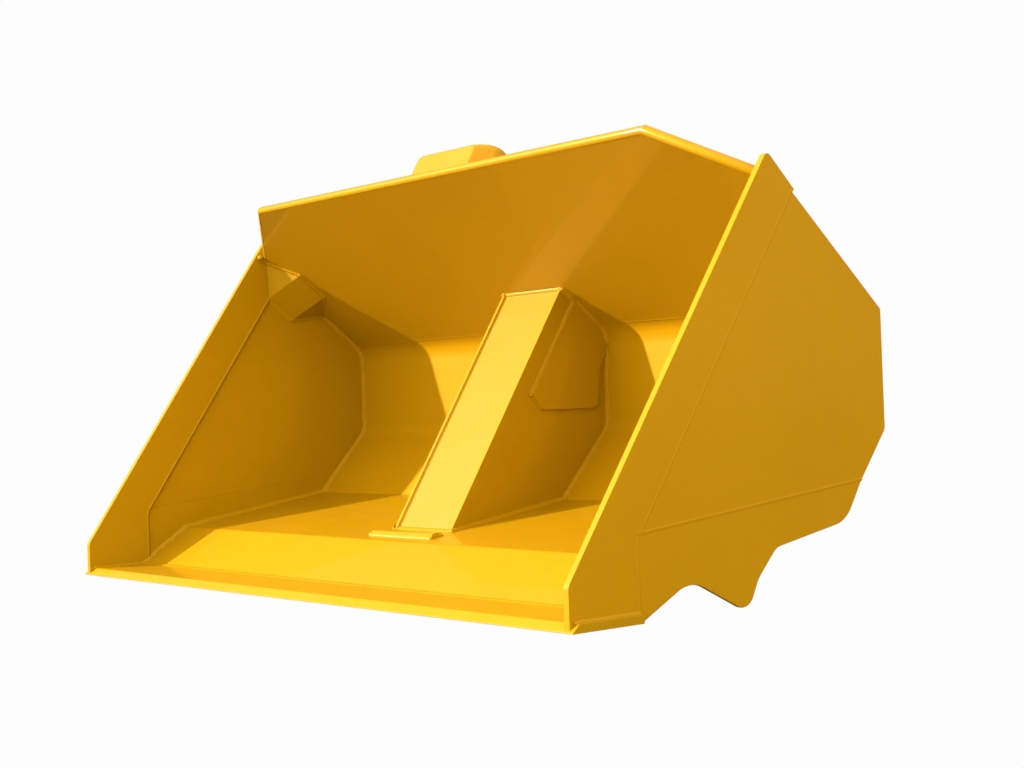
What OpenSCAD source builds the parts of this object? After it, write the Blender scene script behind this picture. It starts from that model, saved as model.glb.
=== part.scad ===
// Rollout bucket for a wheel loader: a light-material bucket that tips forward about
// hinges under its floor, pushed by one cylinder in a box in the middle of the bucket.
// X runs across the bucket, the mouth faces -Y, +Z is up. Origin: middle of the base.
// Left means the -X side, the one on the left when looking into the mouth.

/* [Bucket] */
// Width across the cutting edge
bucket_w = 2800; // [2200:10:3400]
// Depth of the flat cutting edge, front to rear
blade_depth = 254; // [200:1:300]
// Thickness of the cutting edge
blade_t = 25; // [16:1:40]
// Length of the bevel on the cutting edge
blade_bevel = 24; // [10:1:40]
// How far the cutting edge stands out beyond each side cutter
blade_overhang = 17; // [8:1:30]
// Plate thickness of floor, rear and upper plate
shell_t = 10; // [6:1:14]
// Where the lip plate meets the top of the cutting edge, from the front
lip_y = 229; // [190:1:235]
// Slope of the lip plate
lip_angle = 33; // [25:1:40]
// Height that the lip plate climbs
lip_rise = 126; // [100:1:150]
// Length of the flat floor along its slope
floor_len = 653; // [600:1:700]
// Slope of the floor, up towards the rear
floor_angle = 8.7; // [6:0.1:11]
// Slope of the heel behind the floor
heel_angle = 47.4; // [42:0.1:52]
// Inside radius of the bend above the heel
heel_r = 90; // [50:5:140]
// Inside depth, cutting edge to rear plate
inner_depth = 1295; // [1270:1:1330]
// Lean of the upper plate from the horizontal
top_angle = 38.5; // [36:0.5:41]
// Inside radius of the rolled bend under the upper plate
roll_r = 100; // [60:5:140]
// Top corner of the upper plate, from the front
top_y = 602; // [560:1:640]
// Top corner of the upper plate, height
top_z = 1383; // [1360:1:1400]
// Straight length of the top edge
top_len = 2160; // [1600:10:2300]
// How far the top corners are cut off, along the upper plate
corner_drop = 249; // [200:1:270]

/* [Top edge and hood] */
// Plate thickness of the folded top edge
edge_t = 8; // [5:1:10]
// Width of the top face of the folded edge
edge_w = 84; // [70:1:100]
// Slope of that face, up towards the rear
edge_angle = 18.7; // [12:0.1:25]
// Outside radius of its front bend
edge_r = 14; // [10:1:18]
// Width of the hood, of the cylinder box and of what they share
box_w = 320; // [280:2:380]
// Plate thickness of the hood
hood_t = 8; // [5:1:12]
// Height of the hood's top, above the top corner of the upper plate
hood_rise = 93; // [75:1:105]
// Length of the hood's flat top
hood_top = 45; // [38:1:60]
// How far the hood widens behind its front face, on each side
hood_flare = 32; // [10:1:36]
// Length of the hood's sloping back
hood_back = 330; // [250:5:380]

/* [Side plates] */
// Thickness of the side cutters
cutter_t = 20; // [14:1:30]
// Width of a side cutter, square to its sloping front edge
cutter_w = 147; // [120:1:170]
// Thickness of the side plates and skid plates
side_t = 12; // [8:1:13]
// Slope of the cutter's front edge
cutter_angle = 55.2; // [53:0.1:57]
// Height where the cutter's front edge starts to slope
cutter_foot = 119; // [90:1:150]
// Height of the cutter's tip
cutter_tip = 1291; // [1270:1:1310]
// Slope of the cutter's upper end, down towards the rear
cutter_end_angle = 43.4; // [38:0.1:48]
// How far the side plate's upper edge starts below the cutter's end
side_step = 10; // [4:1:20]
// Width of a skid's foot where it stands on the ground
skid_foot = 38; // [20:1:60]

/* [Cylinder box] */
// Thickness of the box's webs
web_t = 12; // [8:1:16]
// Thickness of the front cover
cover_t = 10; // [6:1:14]
// How far the cover lies behind the webs' front edges
cover_recess = 8; // [3:1:14]
// Depth of the box at its foot, back to the rear plate
box_depth = 730; // [695:1:755]
// Slope of the box's front
box_angle = 57.3; // [55:0.1:60]
// Thickness of the doublers on the webs
doubler_t = 12; // [8:1:20]
// Width of the opening in the floor that the cylinder passes
slot_w = 220; // [206:2:236]
// Length of that opening
slot_len = 290; // [270:5:300]

/* [Hinges] */
// Hinge axis, from the front
hinge_y = 655; // [640:1:680]
// Hinge axis, height
hinge_z = 85; // [78:1:90]
// Radius of all pivot pins
pin_r = 30; // [24:1:32]
// Running clearance of a pin in its bush, on the radius
run_gap = 0.05; // [0.02:0.01:0.1]
// Wall of the pivot bushes
bush_wall = 10; // [6:1:12]
// Metal round a bush or a pin
eye_wall = 12; // [10:1:15]
// Distance of the carrier's arms from the middle
arm_x = 300; // [270:5:340]
// Thickness of the carrier's arms
arm_t = 30; // [20:1:40]
// Length of the arm's hinge boss
boss_len = 50; // [45:1:60]
// Thickness of the hinge ears under the floor
ear_t = 20; // [14:1:30]
// Side gap between an ear and what turns beside it
side_gap = 1; // [0.5:0.1:2]
// Thickness of a pin keeper
keeper_t = 10; // [6:1:14]
// Shank radius of a keeper bolt
bolt_r = 8; // [6:1:10]

/* [Carrier] */
// Distance from the bucket's rear face to the carrier's arms
arm_gap = 20; // [16:1:40]
// Depth of the upright part of the arms
upright_d = 105; // [105:1:140]
// Height of the carrier
carrier_h = 840; // [780:5:900]
// Side of the square cross beams
beam = 100; // [80:2:104]
// Wall of the cross beams and of the cross tube
beam_t = 10; // [6:1:14]
// Radius of the front cross tube
tube_r = 50; // [40:1:55]
// Front cross tube, behind the lower cylinder pivot
tube_back = 163; // [155:1:190]
// Distance of the coupler plates from the middle
coupler_x = 225; // [120:5:250]
// Thickness of the coupler plates
coupler_t = 40; // [25:1:50]
// How far the coupler's axes lie behind the upright
coupler_back = 70; // [60:1:100]
// Hook seat of the coupler, below the top of the carrier
hook_drop = 98; // [70:2:140]
// Radius of the hook seat
hook_r = 30; // [25:0.5:35]
// Height of the lock bores
lock_z = 260; // [200:2:320]
// Radius of the lock bores
lock_r = 25.5; // [20:0.5:30]
// Wall of the lock bushes
lock_wall = 12; // [8:1:14]

/* [Cylinder] */
// Lower pivot of the cylinder, behind the hinge
low_dy = 167; // [160:1:175]
// Lower pivot of the cylinder, below the hinge
low_dz = 7; // [0:1:12]
// Upper pivot of the cylinder, in front of the rear plate
up_gap = 165; // [145:1:185]
// Upper pivot of the cylinder, height
up_z = 760; // [740:1:780]
// Forward set of the rod's eye on its pin at rest
eye_dy = 8.6; // [8:0.1:9]
// Upward set of the rod's eye on its pin at rest
eye_dz = 4.6; // [4:0.1:5]
// Clearance of the upper pin in the rod's eye, on the radius
eye_gap = 10.2; // [10:0.1:12]
// Outside radius of the barrel
barrel_r = 72; // [66:1:78]
// Wall of the barrel
barrel_wall = 9.5; // [7:0.5:14]
// Start of the barrel tube above its lower pivot
barrel_start = 100; // [95:1:110]
// Length of the barrel tube
barrel_len = 490; // [450:5:500]
// Radius of the rod
rod_r = 35; // [28:1:42]
// Width of the cylinder's eyes
eye_w = 90; // [70:1:100]
// Length of the gland outside the barrel
gland_len = 50; // [35:1:55]
// Thickness of the piston
piston_len = 60; // [45:1:75]
// Radius of the oil ports
port_r = 8; // [6:0.5:10]

/* [Hidden] */

paint = [0.96, 0.70, 0.05];
paint_dark = [0.86, 0.58, 0.04];
steel = [0.62, 0.63, 0.65];
chrome = [0.82, 0.83, 0.85];
bronze = [0.72, 0.52, 0.25];
black = [0.10, 0.10, 0.11];
smooth = 96;
// Length that reaches past everything it cuts
far = 4000;
// Largest turn of one straight step in a rounded corner
step_angle = 10;

function unit(v) = v / norm(v);
function dir(a) = [cos(a), sin(a)];
function rear_of(v) = [v[1], -v[0]];
function meet(p, d, q, e) =
    p + d * ((q[0] - p[0]) * e[1] - (q[1] - p[1]) * e[0]) / (d[0] * e[1] - d[1] * e[0]);
function mitre(a, b, c, t) =
    let (n = rear_of(unit(b - a)), m = unit(n + rear_of(unit(c - b)))) b + m * t / (m * n);
function half_turn(a, b, c) = acos(unit(a - b) * unit(c - b)) / 2;
function bend_centre(a, b, c, r) = b + unit(unit(a - b) + unit(c - b)) * r / sin(half_turn(a, b, c));
function bend_reach(a, b, c, r) = r / tan(half_turn(a, b, c));
function bearing(v) = atan2(v[1], v[0]);
function near_turn(a) = a > 180 ? a - 360 : a < -180 ? a + 360 : a;
// One corner as an arc of radius r
function corner_arc(a, b, c, r) = r == 0 ? [b] :
    let (
        m = bend_centre(a, b, c, r),
        reach = bend_reach(a, b, c, r),
        from = bearing(b + unit(a - b) * reach - m),
        sweep = near_turn(bearing(b + unit(c - b) * reach - m) - from),
        n = max(2, ceil(abs(sweep) / step_angle))
    ) [for (i = [0:n]) m + r * dir(from + sweep * i / n)];
// Closed outline from corners given as [y, z, radius]
function rounded(p) = let (n = len(p)) [for (i = [0:n - 1])
    let (a = p[(i + n - 1) % n], b = p[i], c = p[(i + 1) % n])
    each corner_arc([a[0], a[1]], [b[0], b[1]], [c[0], c[1]], b[2])];
function flat(p) = [p[0], p[1], 0];

// Inside line of the shell, from the lip round to the top corner
lip_foot = [lip_y, blade_t];
lip_bend = lip_foot + [lip_rise / tan(lip_angle), lip_rise];
floor_rear = lip_bend + floor_len * dir(floor_angle);
heel_top = [inner_depth, floor_rear[1] + (inner_depth - floor_rear[0]) * tan(heel_angle)];
top_corner = [top_y, top_z];
up_dir = dir(180 - top_angle);
out_dir = rear_of(up_dir);
roll_top = meet(top_corner, up_dir, heel_top, [0, 1]);
// Outside corners, one plate thickness out
lip_bend_out = mitre(lip_foot, lip_bend, floor_rear, shell_t);
floor_rear_out = mitre(lip_bend, floor_rear, heel_top, shell_t);
heel_top_out = mitre(floor_rear, heel_top, roll_top, shell_t);
roll_top_out = mitre(heel_top, roll_top, top_corner, shell_t);
lip_foot_out = lip_foot + [shell_t / sin(lip_angle), 0];
seam_in = roll_top + up_dir * bend_reach(heel_top, roll_top, top_corner, roll_r);
seam_out = seam_in + out_dir * shell_t;
rear_face = inner_depth + shell_t;

// Places across the bucket
cutter_out = bucket_w / 2 - blade_overhang;
cutter_in = cutter_out - cutter_t;
side_in = cutter_out - side_t;
web_out = box_w / 2;
web_in = web_out - web_t;

// Side cutter and side plate outlines
cutter_front = 4;
front_dir = dir(cutter_angle);
front_foot = [cutter_front, cutter_foot];
seam_line = front_foot + rear_of(front_dir) * cutter_w;
end_dir = dir(-cutter_end_angle);
tip = front_foot + front_dir * (cutter_tip - cutter_foot) / sin(cutter_angle);
seam_top = meet(seam_line, front_dir, tip, end_dir);
seam_foot = meet(seam_line, front_dir, [blade_depth, 0], [0, 1]);
side_start = seam_top - front_dir * side_step / sin(cutter_angle);
seam_bend = 60;
// The skid's arch, its foot and the curve behind it
skid_y = 649;
arch = [449, 95];
skid_rear = [798, 156];
heel_low = [1109, 210];
heel_high = [1187, 329];
heel_rear = [rear_face, 475];
side_rear_top = [rear_face, 840];
lower_seam = [[283, 239], heel_high];

// Folded top edge, its section round the top corner
edge_dir = dir(edge_angle);
edge_rear = top_corner + edge_dir * edge_w;
edge_reach = bend_reach(top_corner - up_dir, top_corner, edge_rear, edge_r);
edge_foot = meet(edge_rear, out_dir, top_corner + out_dir * shell_t, up_dir);
edge_rear_r = 12;
plate_end = edge_reach + 2;

// Cylinder box
box_dir = dir(box_angle);
floor_line = dir(floor_angle);
box_foot = inner_depth - box_depth;
box_foot_pt = meet(lip_bend, floor_line, [box_foot, 0], [0, 1]);
box_top_pt = meet(box_foot_pt, box_dir, top_corner, up_dir);
box_back = rear_of(box_dir);

// Linkage
hinge = [hinge_y, hinge_z];
low_pivot = hinge + [low_dy, -low_dz];
up_pivot = [inner_depth - up_gap, up_z];
rod_eye = up_pivot + [-eye_dy, eye_dz];
cyl_angle = bearing(rod_eye - low_pivot);
cyl_len = norm(rod_eye - low_pivot);
bush_r = pin_r + bush_wall;
boss_r = bush_r + eye_wall;
pin_boss_r = pin_r + eye_wall + 8;
ear_in = arm_x - boss_len / 2 - side_gap - ear_t;
ear_out = arm_x + boss_len / 2 + side_gap + ear_t;
low_ear_in = eye_w / 2 + side_gap;
low_ear_out = low_ear_in + ear_t;

// Carrier
upright = rear_face + arm_gap;
upright_rear = upright + upright_d;
coupler_y = upright_rear + coupler_back;
coupler_end = coupler_y + hook_r + 32;
coupler_waist = 140;
coupler_waist_r = 40;
hook_z = carrier_h - hook_drop;
low_beam_z = 60;
up_beam_z = carrier_h - beam - 20;
tube_at = low_pivot + [tube_back, 2];
overall = coupler_end;

module at_base() {
    translate([0, -overall / 2, 0]) children();
}

// A side outline, drawn in Y and Z, as a plate between two places across the bucket
module plate(x0, x1) {
    at_base() translate([min(x0, x1), 0, 0]) rotate([90, 0, 90])
        linear_extrude(abs(x1 - x0)) children();
}

module bar_x(x0, x1, p, r) {
    at_base() translate([min(x0, x1), p[0], p[1]]) rotate([0, 90, 0])
        cylinder(h = abs(x1 - x0), r = r, $fn = smooth);
}

// What a rounding of radius r takes off a corner
module corner_fill(a, b, c, r) {
    reach = bend_reach(a, b, c, r);
    m = bend_centre(a, b, c, r);
    difference() {
        polygon([b + unit(a - b) * reach, b + (b - m) / 4, b + unit(c - b) * reach, m]);
        translate(m) circle(r, $fn = 2 * smooth);
    }
}

module shell_space() {
    difference() {
        polygon([lip_foot, lip_bend, floor_rear, heel_top, roll_top, top_corner]);
        corner_fill(floor_rear, heel_top, roll_top, heel_r);
        corner_fill(heel_top, roll_top, top_corner, roll_r);
    }
}

module blade_outline() {
    polygon([[0, 0], [blade_depth, 0], [blade_depth, blade_t], [blade_bevel, blade_t], [0, 3]]);
}

module cutter_outline() {
    difference() {
        polygon(rounded([[cutter_front, 0, 0], [front_foot[0], front_foot[1], 40],
            [tip[0], tip[1], 16], [seam_top[0], seam_top[1], 5],
            [seam_foot[0], seam_foot[1], seam_bend], [blade_depth, 0, 0]]));
        blade_outline();
    }
}

arch_r = 110;
skid_rear_r = 120;
module side_outline() {
    foot = skid_foot / 2;
    polygon(rounded([[blade_depth, 0, 0], [blade_depth + 8, 0, 0], [arch[0], arch[1], arch_r],
        [skid_y - foot, 0, 25], [skid_y + foot, 0, 25], [skid_rear[0], skid_rear[1], skid_rear_r],
        [heel_low[0], heel_low[1], 70], [heel_high[0], heel_high[1], 15],
        [heel_rear[0], heel_rear[1], 30], [side_rear_top[0], side_rear_top[1], 12],
        flat(side_start), [seam_foot[0], seam_foot[1], seam_bend]]));
}

module below_lower_seam() {
    a = lower_seam[0];
    d = lower_seam[1] - a;
    polygon([a - d, a + 2 * d, a + 2 * d - [0, far], a - d - [0, far]]);
}

module side_cutters() {
    for (s = [-1, 1]) plate(s * cutter_in, s * cutter_out) cutter_outline();
}

module cutting_edge() {
    color(paint) plate(-bucket_w / 2, bucket_w / 2) blade_outline();
}

module floor_plate() {
    color(paint) difference() {
        plate(-side_in, side_in)
            polygon([lip_foot, lip_bend, floor_rear, floor_rear_out, lip_bend_out, lip_foot_out]);
        side_cutters();
        floor_slot();
    }
}

// The cylinder's axis crosses the floor this far behind the middle of the opening
slot_set = 8;
slot_at = meet(low_pivot, dir(cyl_angle), lip_bend, floor_line) - slot_set * floor_line;
slot_through = 20 * shell_t;
module floor_slot() {
    at_base() translate([0, slot_at[0], slot_at[1]]) linear_extrude(slot_through, center = true)
        polygon(rounded([for (c = [[-1, -1], [1, -1], [1, 1], [-1, 1]])
            [c[0] * slot_w / 2, c[1] * slot_len / 2, 30]]));
}

// Gap left in the seam of the floor and the rear plate
weld_gap = 0.004;
module rear_plate() {
    low = floor_rear - floor_rear_out;
    start = unit(heel_top - floor_rear) * weld_gap;
    color(paint) plate(-side_in, side_in) difference() {
        polygon([floor_rear_out + start, heel_top_out, roll_top_out, seam_out,
            seam_out - out_dir * 6 * shell_t, floor_rear + start + low * 5]);
        corner_fill(floor_rear_out, heel_top_out, roll_top_out, heel_r + shell_t);
        corner_fill(heel_top_out, roll_top_out, seam_out, roll_r + shell_t);
        shell_space();
    }
}

// The upper plate's own plane: X across, Y up the plate from the top corner, Z outwards
module on_upper_plate() {
    at_base() translate([0, top_corner[0], top_corner[1]])
        rotate([180 - top_angle, 0, 0]) rotate([0, 180, 0]) mirror([1, 0, 0]) children();
}

// The two cut-off corners: an edge's outward direction in the plate's own plane
corner_len = norm([cutter_in - top_len / 2, corner_drop]);
corner_out = [corner_drop, cutter_in - top_len / 2] / corner_len;
// Where the line that lies a outside the sloping edge meets the same line of the
// straight edge, and where it ends at the side cutter
function mitre_x(a) = top_len / 2 + a * (1 - corner_out[1]) / corner_out[0];
function end_up(a) = (a - (cutter_in - top_len / 2) * corner_out[0]) / corner_out[1];

module upper_plate() {
    low = -norm(seam_in - top_corner);
    half = [[side_in, low], [side_in, end_up(-plate_end)], [cutter_in, end_up(-plate_end)],
        [mitre_x(-plate_end), -plate_end]];
    color(paint) difference() {
        on_upper_plate() linear_extrude(shell_t)
            polygon(concat(half, [for (i = [3:-1:0]) [-half[i][0], half[i][1]]]));
        side_cutters();
    }
}

// Section of the folded edge: outer line, then the inner line back
function edge_section() = let (
    a = top_corner - up_dir * plate_end,
    inner_corner = mitre(a, top_corner, edge_rear, edge_t),
    inner_rear = mitre(top_corner, edge_rear, edge_foot, edge_t)
) concat(
    [a], corner_arc(a, top_corner, edge_rear, edge_r),
    corner_arc(top_corner, edge_rear, edge_foot, edge_rear_r),
    [edge_foot, edge_foot + up_dir * edge_t],
    corner_arc(edge_foot, inner_rear, inner_corner, edge_rear_r - edge_t),
    corner_arc(inner_rear, inner_corner, a, edge_r - edge_t),
    [a + out_dir * edge_t]);

// The same section as [outside the edge, off the plate's inner face]
function on_edge(x, up, off) = let (p = top_corner + up_dir * up + out_dir * off)
    [x, p[0], p[1]];

// Folded along the straight edge and along both sloping ones, mitred between them
module top_edge() {
    s = [for (p = edge_section()) [(p - top_corner) * up_dir, (p - top_corner) * out_dir]];
    n = len(s);
    points = concat(
        [for (q = s) on_edge(-cutter_in, end_up(q[0]), q[1])],
        [for (q = s) on_edge(-mitre_x(q[0]), q[0], q[1])],
        [for (q = s) on_edge(mitre_x(q[0]), q[0], q[1])],
        [for (q = s) on_edge(cutter_in, end_up(q[0]), q[1])]);
    sides = [for (i = [0:2]) for (j = [0:n - 1])
        let (k = (j + 1) % n) [i * n + j, i * n + k, (i + 1) * n + k, (i + 1) * n + j]];
    color(paint) at_base() polyhedron(points, concat(sides,
        [[for (j = [n - 1:-1:0]) j]], [[for (j = [0:n - 1]) 3 * n + j]]));
}

hood_front = 59.4;
hood_tuck = [60, 170];
// Corners of the hood's side view; t sets the inner faces one thickness in
function hood_corners(t) = let (
    foot = top_corner + out_dir * shell_t,
    front_at = edge_rear + [18 + t / sin(hood_front), 12],
    front = dir(hood_front),
    top = [0, top_z + hood_rise - t],
    front_top = meet(front_at, front, top, [1, 0]),
    top_rear = [meet(edge_rear + [18, 12], front, [0, top_z + hood_rise], [1, 0])[0]
        + hood_top, top_z + hood_rise],
    back = top_rear - out_dir * t,
    back_low = top_rear - up_dir * hood_back,
    rear = unit(-up_dir * hood_tuck[0] - out_dir * hood_tuck[1])
) [
    meet(front_at, front, foot, up_dir), front_top,
    meet(back, up_dir, top, [1, 0]),
    meet(back, up_dir, back_low + up_dir * t, rear),
    meet(back_low + up_dir * t, rear, foot, up_dir)];

// Section of the hood square to its front face: X across, Y in from that face
module hood_section(t) {
    side = web_out + hood_flare - t;
    front = web_out - t * sqrt(2);
    half = [[front, -far], [front, 0], [side, side - front], [side, far]];
    at_base() translate([0, hood_corners(0)[0][0], hood_corners(0)[0][1]])
        rotate([hood_front - 90, 0, 0]) linear_extrude(far, center = true)
            polygon(concat(half, [for (i = [3:-1:0]) [-half[i][0], half[i][1]]]));
}
module top_hood() {
    wide = web_out + hood_flare;
    color(paint) difference() {
        intersection() {
            plate(-wide, wide) polygon(rounded([for (i = [0:4])
                let (p = hood_corners(0)[i]) [p[0], p[1], [0, 10, 14, 20, 0][i]]]));
            hood_section(0);
        }
        intersection() {
            plate(-wide, wide) polygon(hood_corners(hood_t));
            hood_section(hood_t);
        }
    }
}

module side_cutter(s) {
    color(paint) plate(s * cutter_in, s * cutter_out) cutter_outline();
}
module side_cutter_left() { side_cutter(-1); }
module side_cutter_right() { side_cutter(1); }

module side_plate(s) {
    color(paint) plate(s * side_in, s * cutter_out) difference() {
        side_outline();
        below_lower_seam();
    }
}
module side_plate_left() { side_plate(-1); }
module side_plate_right() { side_plate(1); }

module skid_plate(s) {
    color(paint) plate(s * side_in, s * cutter_out) intersection() {
        side_outline();
        below_lower_seam();
    }
}
module skid_plate_left() { skid_plate(-1); }
module skid_plate_right() { skid_plate(1); }

// Folded gusset in the corner of side and upper plate: three faces over a long box
gusset_ends = [279, 635];
gusset_flat = [381, 524];
gusset_side = 145;
gusset_drop = 112;
gusset_t = 8;
module gusset_form(s) {
    function at(x, along, off) = let (p = top_corner - up_dir * along - out_dir * off)
        [s * (side_in - x), p[0], p[1]];
    points = [at(0, gusset_ends[0], 0), at(0, gusset_ends[1], 0),
        at(gusset_side, gusset_flat[0], 0), at(gusset_side, gusset_flat[1], 0),
        at(0, gusset_flat[0], gusset_drop), at(0, gusset_flat[1], gusset_drop)];
    faces = [[0, 2, 4], [2, 3, 5, 4], [3, 1, 5], [0, 1, 3, 2], [0, 4, 5, 1]];
    at_base() polyhedron(points, s < 0 ? faces : [for (f = faces) [for (i = [len(f) - 1:-1:0]) f[i]]]);
}

module corner_gusset(s) {
    thin = gusset_t * norm([gusset_side, gusset_drop]) / gusset_side;
    color(paint) difference() {
        gusset_form(s);
        translate([0, out_dir[0] * thin, out_dir[1] * thin]) gusset_form(s);
        side_cutters();
    }
}
module corner_gusset_left() { corner_gusset(-1); }
module corner_gusset_right() { corner_gusset(1); }

module box_web(s) {
    color(paint) difference() {
        plate(s * web_in, s * web_out) difference() {
            polygon([box_foot_pt, floor_rear, heel_top, roll_top, box_top_pt]);
            corner_fill(floor_rear, heel_top, roll_top, heel_r);
            corner_fill(heel_top, roll_top, top_corner, roll_r);
        }
        bar_x(-web_out - 1, web_out + 1, up_pivot, pin_r + run_gap);
    }
}
module box_web_left() { box_web(-1); }
module box_web_right() { box_web(1); }

module box_cover() {
    a = box_foot_pt + box_back * cover_recess;
    b = a + box_back * cover_t;
    color(paint) plate(-web_in, web_in) polygon([
        meet(a, box_dir, lip_bend, floor_line), meet(b, box_dir, lip_bend, floor_line),
        meet(b, box_dir, top_corner, up_dir), meet(a, box_dir, top_corner, up_dir)]);
}

// Doubler over the web round the upper pin; its upper edge follows the shell
doubler_front = 70;
doubler_low = 567;
doubler_cut = [46, 51];
doubler_gap = 59;
doubler_rear = [inner_depth - doubler_gap, doubler_low];
doubler_rise = [14, 131];
doubler_exit = 283;
module web_doubler(s) {
    front = box_foot_pt + box_back * doubler_front;
    corner = meet(front, box_dir, [0, doubler_low + doubler_cut[1]], [1, 0]);
    bend = doubler_rear + doubler_rise;
    color(paint) plate(s * web_out, s * (web_out + doubler_t)) intersection() {
        shell_space();
        polygon(rounded([[corner[0], corner[1], 20], [corner[0] + doubler_cut[0], doubler_low, 25],
            [doubler_rear[0], doubler_rear[1], 30], [bend[0], bend[1], 60],
            [rear_face + 2 * shell_t, doubler_low + doubler_exit, 0], [rear_face, top_z, 0],
            flat(meet(front, box_dir, [0, top_z], [1, 0]))]));
    }
}
module web_doubler_left() { web_doubler(-1); }
module web_doubler_right() { web_doubler(1); }

// Strip across the floor in front of the box, its ends past the webs
foot_bar_w = 36;
foot_bar_t = 14;
foot_bar_y = 478;
module box_foot_bar() {
    p = meet(lip_bend, floor_line, [foot_bar_y, 0], [0, 1]);
    n = -rear_of(floor_line);
    q = p + floor_line * foot_bar_w;
    color(paint) plate(-web_out - doubler_t, web_out + doubler_t)
        polygon([p, q, q + n * foot_bar_t - floor_line * 5, p + n * foot_bar_t + floor_line * 5]);
}

// Ribs that carry the lip between the cutting edge and the floor
rib_x = [-1100, -780, -460, 460, 780, 1100];
rib_t = 12;
rib_rear = 560;
module lip_ribs() {
    color(paint_dark) for (x = rib_x) plate(x - rib_t / 2, x + rib_t / 2)
        polygon([[lip_foot_out[0], blade_t], [blade_depth, blade_t], [blade_depth, 4],
            [blade_depth + 60, 4], meet([rib_rear, 0], [0, 1], lip_bend_out, floor_line),
            lip_bend_out]);
}

// Outline of an ear that hangs from the floor round the hinge
ear_front = 560;
ear_rear = 805;
module ear_outline() {
    polygon(rounded([flat(meet([ear_front, 0], [0, 1], lip_bend_out, floor_line)),
        [hinge_y - boss_r, hinge_z - boss_r + 2, boss_r - 2], [hinge_y + boss_r, hinge_z - boss_r + 2, boss_r - 2],
        flat(meet([ear_rear, 0], [0, 1], lip_bend_out, floor_line))]));
}

keeper_bolt_at = hinge + [72, 28];
module hinge_ears(s) {
    color(paint_dark) difference() {
        union() {
            plate(s * ear_in, s * (ear_in + ear_t)) ear_outline();
            plate(s * (ear_out - ear_t), s * ear_out) ear_outline();
        }
        bar_x(s * (ear_in - 1), s * (ear_out + 1), hinge, pin_r + run_gap);
        bar_x(s * (ear_out - ear_t - 1), s * (ear_out + 1), keeper_bolt_at, bolt_r + 0.3);
    }
}
module hinge_ears_left() { hinge_ears(-1); }
module hinge_ears_right() { hinge_ears(1); }

module hinge_pin(s) {
    color(steel) bar_x(s * ear_in, s * ear_out, hinge, pin_r);
}
module hinge_pin_left() { hinge_pin(-1); }
module hinge_pin_right() { hinge_pin(1); }

// Flag that covers a pin's end and takes one bolt
module keeper(x0, x1, at, bolt) {
    d = unit(bolt - at);
    side = rear_of(d);
    r = pin_r + 6;
    small = bolt_r + 12;
    ends = [at - d * r + side * r, bolt + d * small + side * small,
        bolt + d * small - side * small, at - d * r - side * r];
    difference() {
        plate(x0, x1) polygon(rounded([for (i = [0:3])
            [ends[i][0], ends[i][1], [r - 7, small - 3, small - 3, r - 7][i]]]));
        bar_x(min(x0, x1) - 1, max(x0, x1) + 1, bolt, bolt_r + 0.3);
    }
}

module keeper_bolt(x_face, s, at) {
    bar_x(x_face, x_face + s * 10, at, bolt_r * 1.6);
    bar_x(x_face - s * (keeper_t + ear_t), x_face, at, bolt_r);
}

module hinge_keepers() {
    color(paint_dark) for (s = [-1, 1])
        keeper(s * ear_out, s * (ear_out + keeper_t), hinge, keeper_bolt_at);
}

module hinge_keeper_bolts() {
    color(steel) for (s = [-1, 1]) keeper_bolt(s * (ear_out + keeper_t), s, keeper_bolt_at);
}

module upper_pin() {
    color(steel) bar_x(-web_out, web_out, up_pivot, pin_r);
}

module upper_pin_bosses() {
    color(paint_dark) for (s = [-1, 1]) difference() {
        bar_x(s * (eye_w / 2 + side_gap), s * web_in, up_pivot, pin_boss_r);
        bar_x(s * eye_w / 2, s * (web_in + 1), up_pivot, pin_r + run_gap);
    }
}

// Wear plates on the rear face where the bucket leans on the carrier
stop_drop = 150;
stop_z = carrier_h - stop_drop;
stop_h = 120;
stop_w = 100;
stop_t = 8;
pad_edge = 15;
pad_gap = 0.4;
module rear_stop_plates() {
    color(paint_dark) for (s = [-1, 1]) plate(s * (arm_x - stop_w / 2), s * (arm_x + stop_w / 2))
        polygon([[rear_face, stop_z - stop_h / 2], [rear_face + stop_t, stop_z - stop_h / 2 + stop_t],
            [rear_face + stop_t, stop_z + stop_h / 2 - stop_t], [rear_face, stop_z + stop_h / 2]]);
}

module stop_pads() {
    h = stop_h / 2 - pad_edge - 5;
    x = stop_w / 2 - pad_edge;
    front = rear_face + stop_t + pad_gap;
    color(black) for (s = [-1, 1]) plate(s * (arm_x - x), s * (arm_x + x))
        polygon([[front, stop_z - h], [upright, stop_z - h],
            [upright, stop_z + h], [front, stop_z + h]]);
}

// The arm's upper edge, its heel and the toe it stands on
arm_neck_ahead = 247;
arm_neck = [upright - arm_neck_ahead, 203];
arm_neck_r = 80;
arm_shoulder = 478;
arm_shoulder_r = 60;
arm_head_r = 40;
arm_toe = 130;
arm_toe_rise = [60, 33];
arm_edge_r = 12;
module arm_outline() {
    polygon(rounded([[hinge_y - boss_r, hinge_z - boss_r, boss_r - 0.5],
        [hinge_y - boss_r, hinge_z + boss_r, boss_r - 0.5], [arm_neck[0], arm_neck[1], arm_neck_r],
        [upright, arm_shoulder, arm_shoulder_r], [upright, carrier_h, arm_edge_r],
        [upright_rear, carrier_h, arm_head_r], [upright_rear, 0, arm_edge_r],
        [upright_rear - arm_toe, 0, arm_edge_r],
        [upright_rear - arm_toe - arm_toe_rise[0], arm_toe_rise[1], arm_head_r]]));
}

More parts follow.
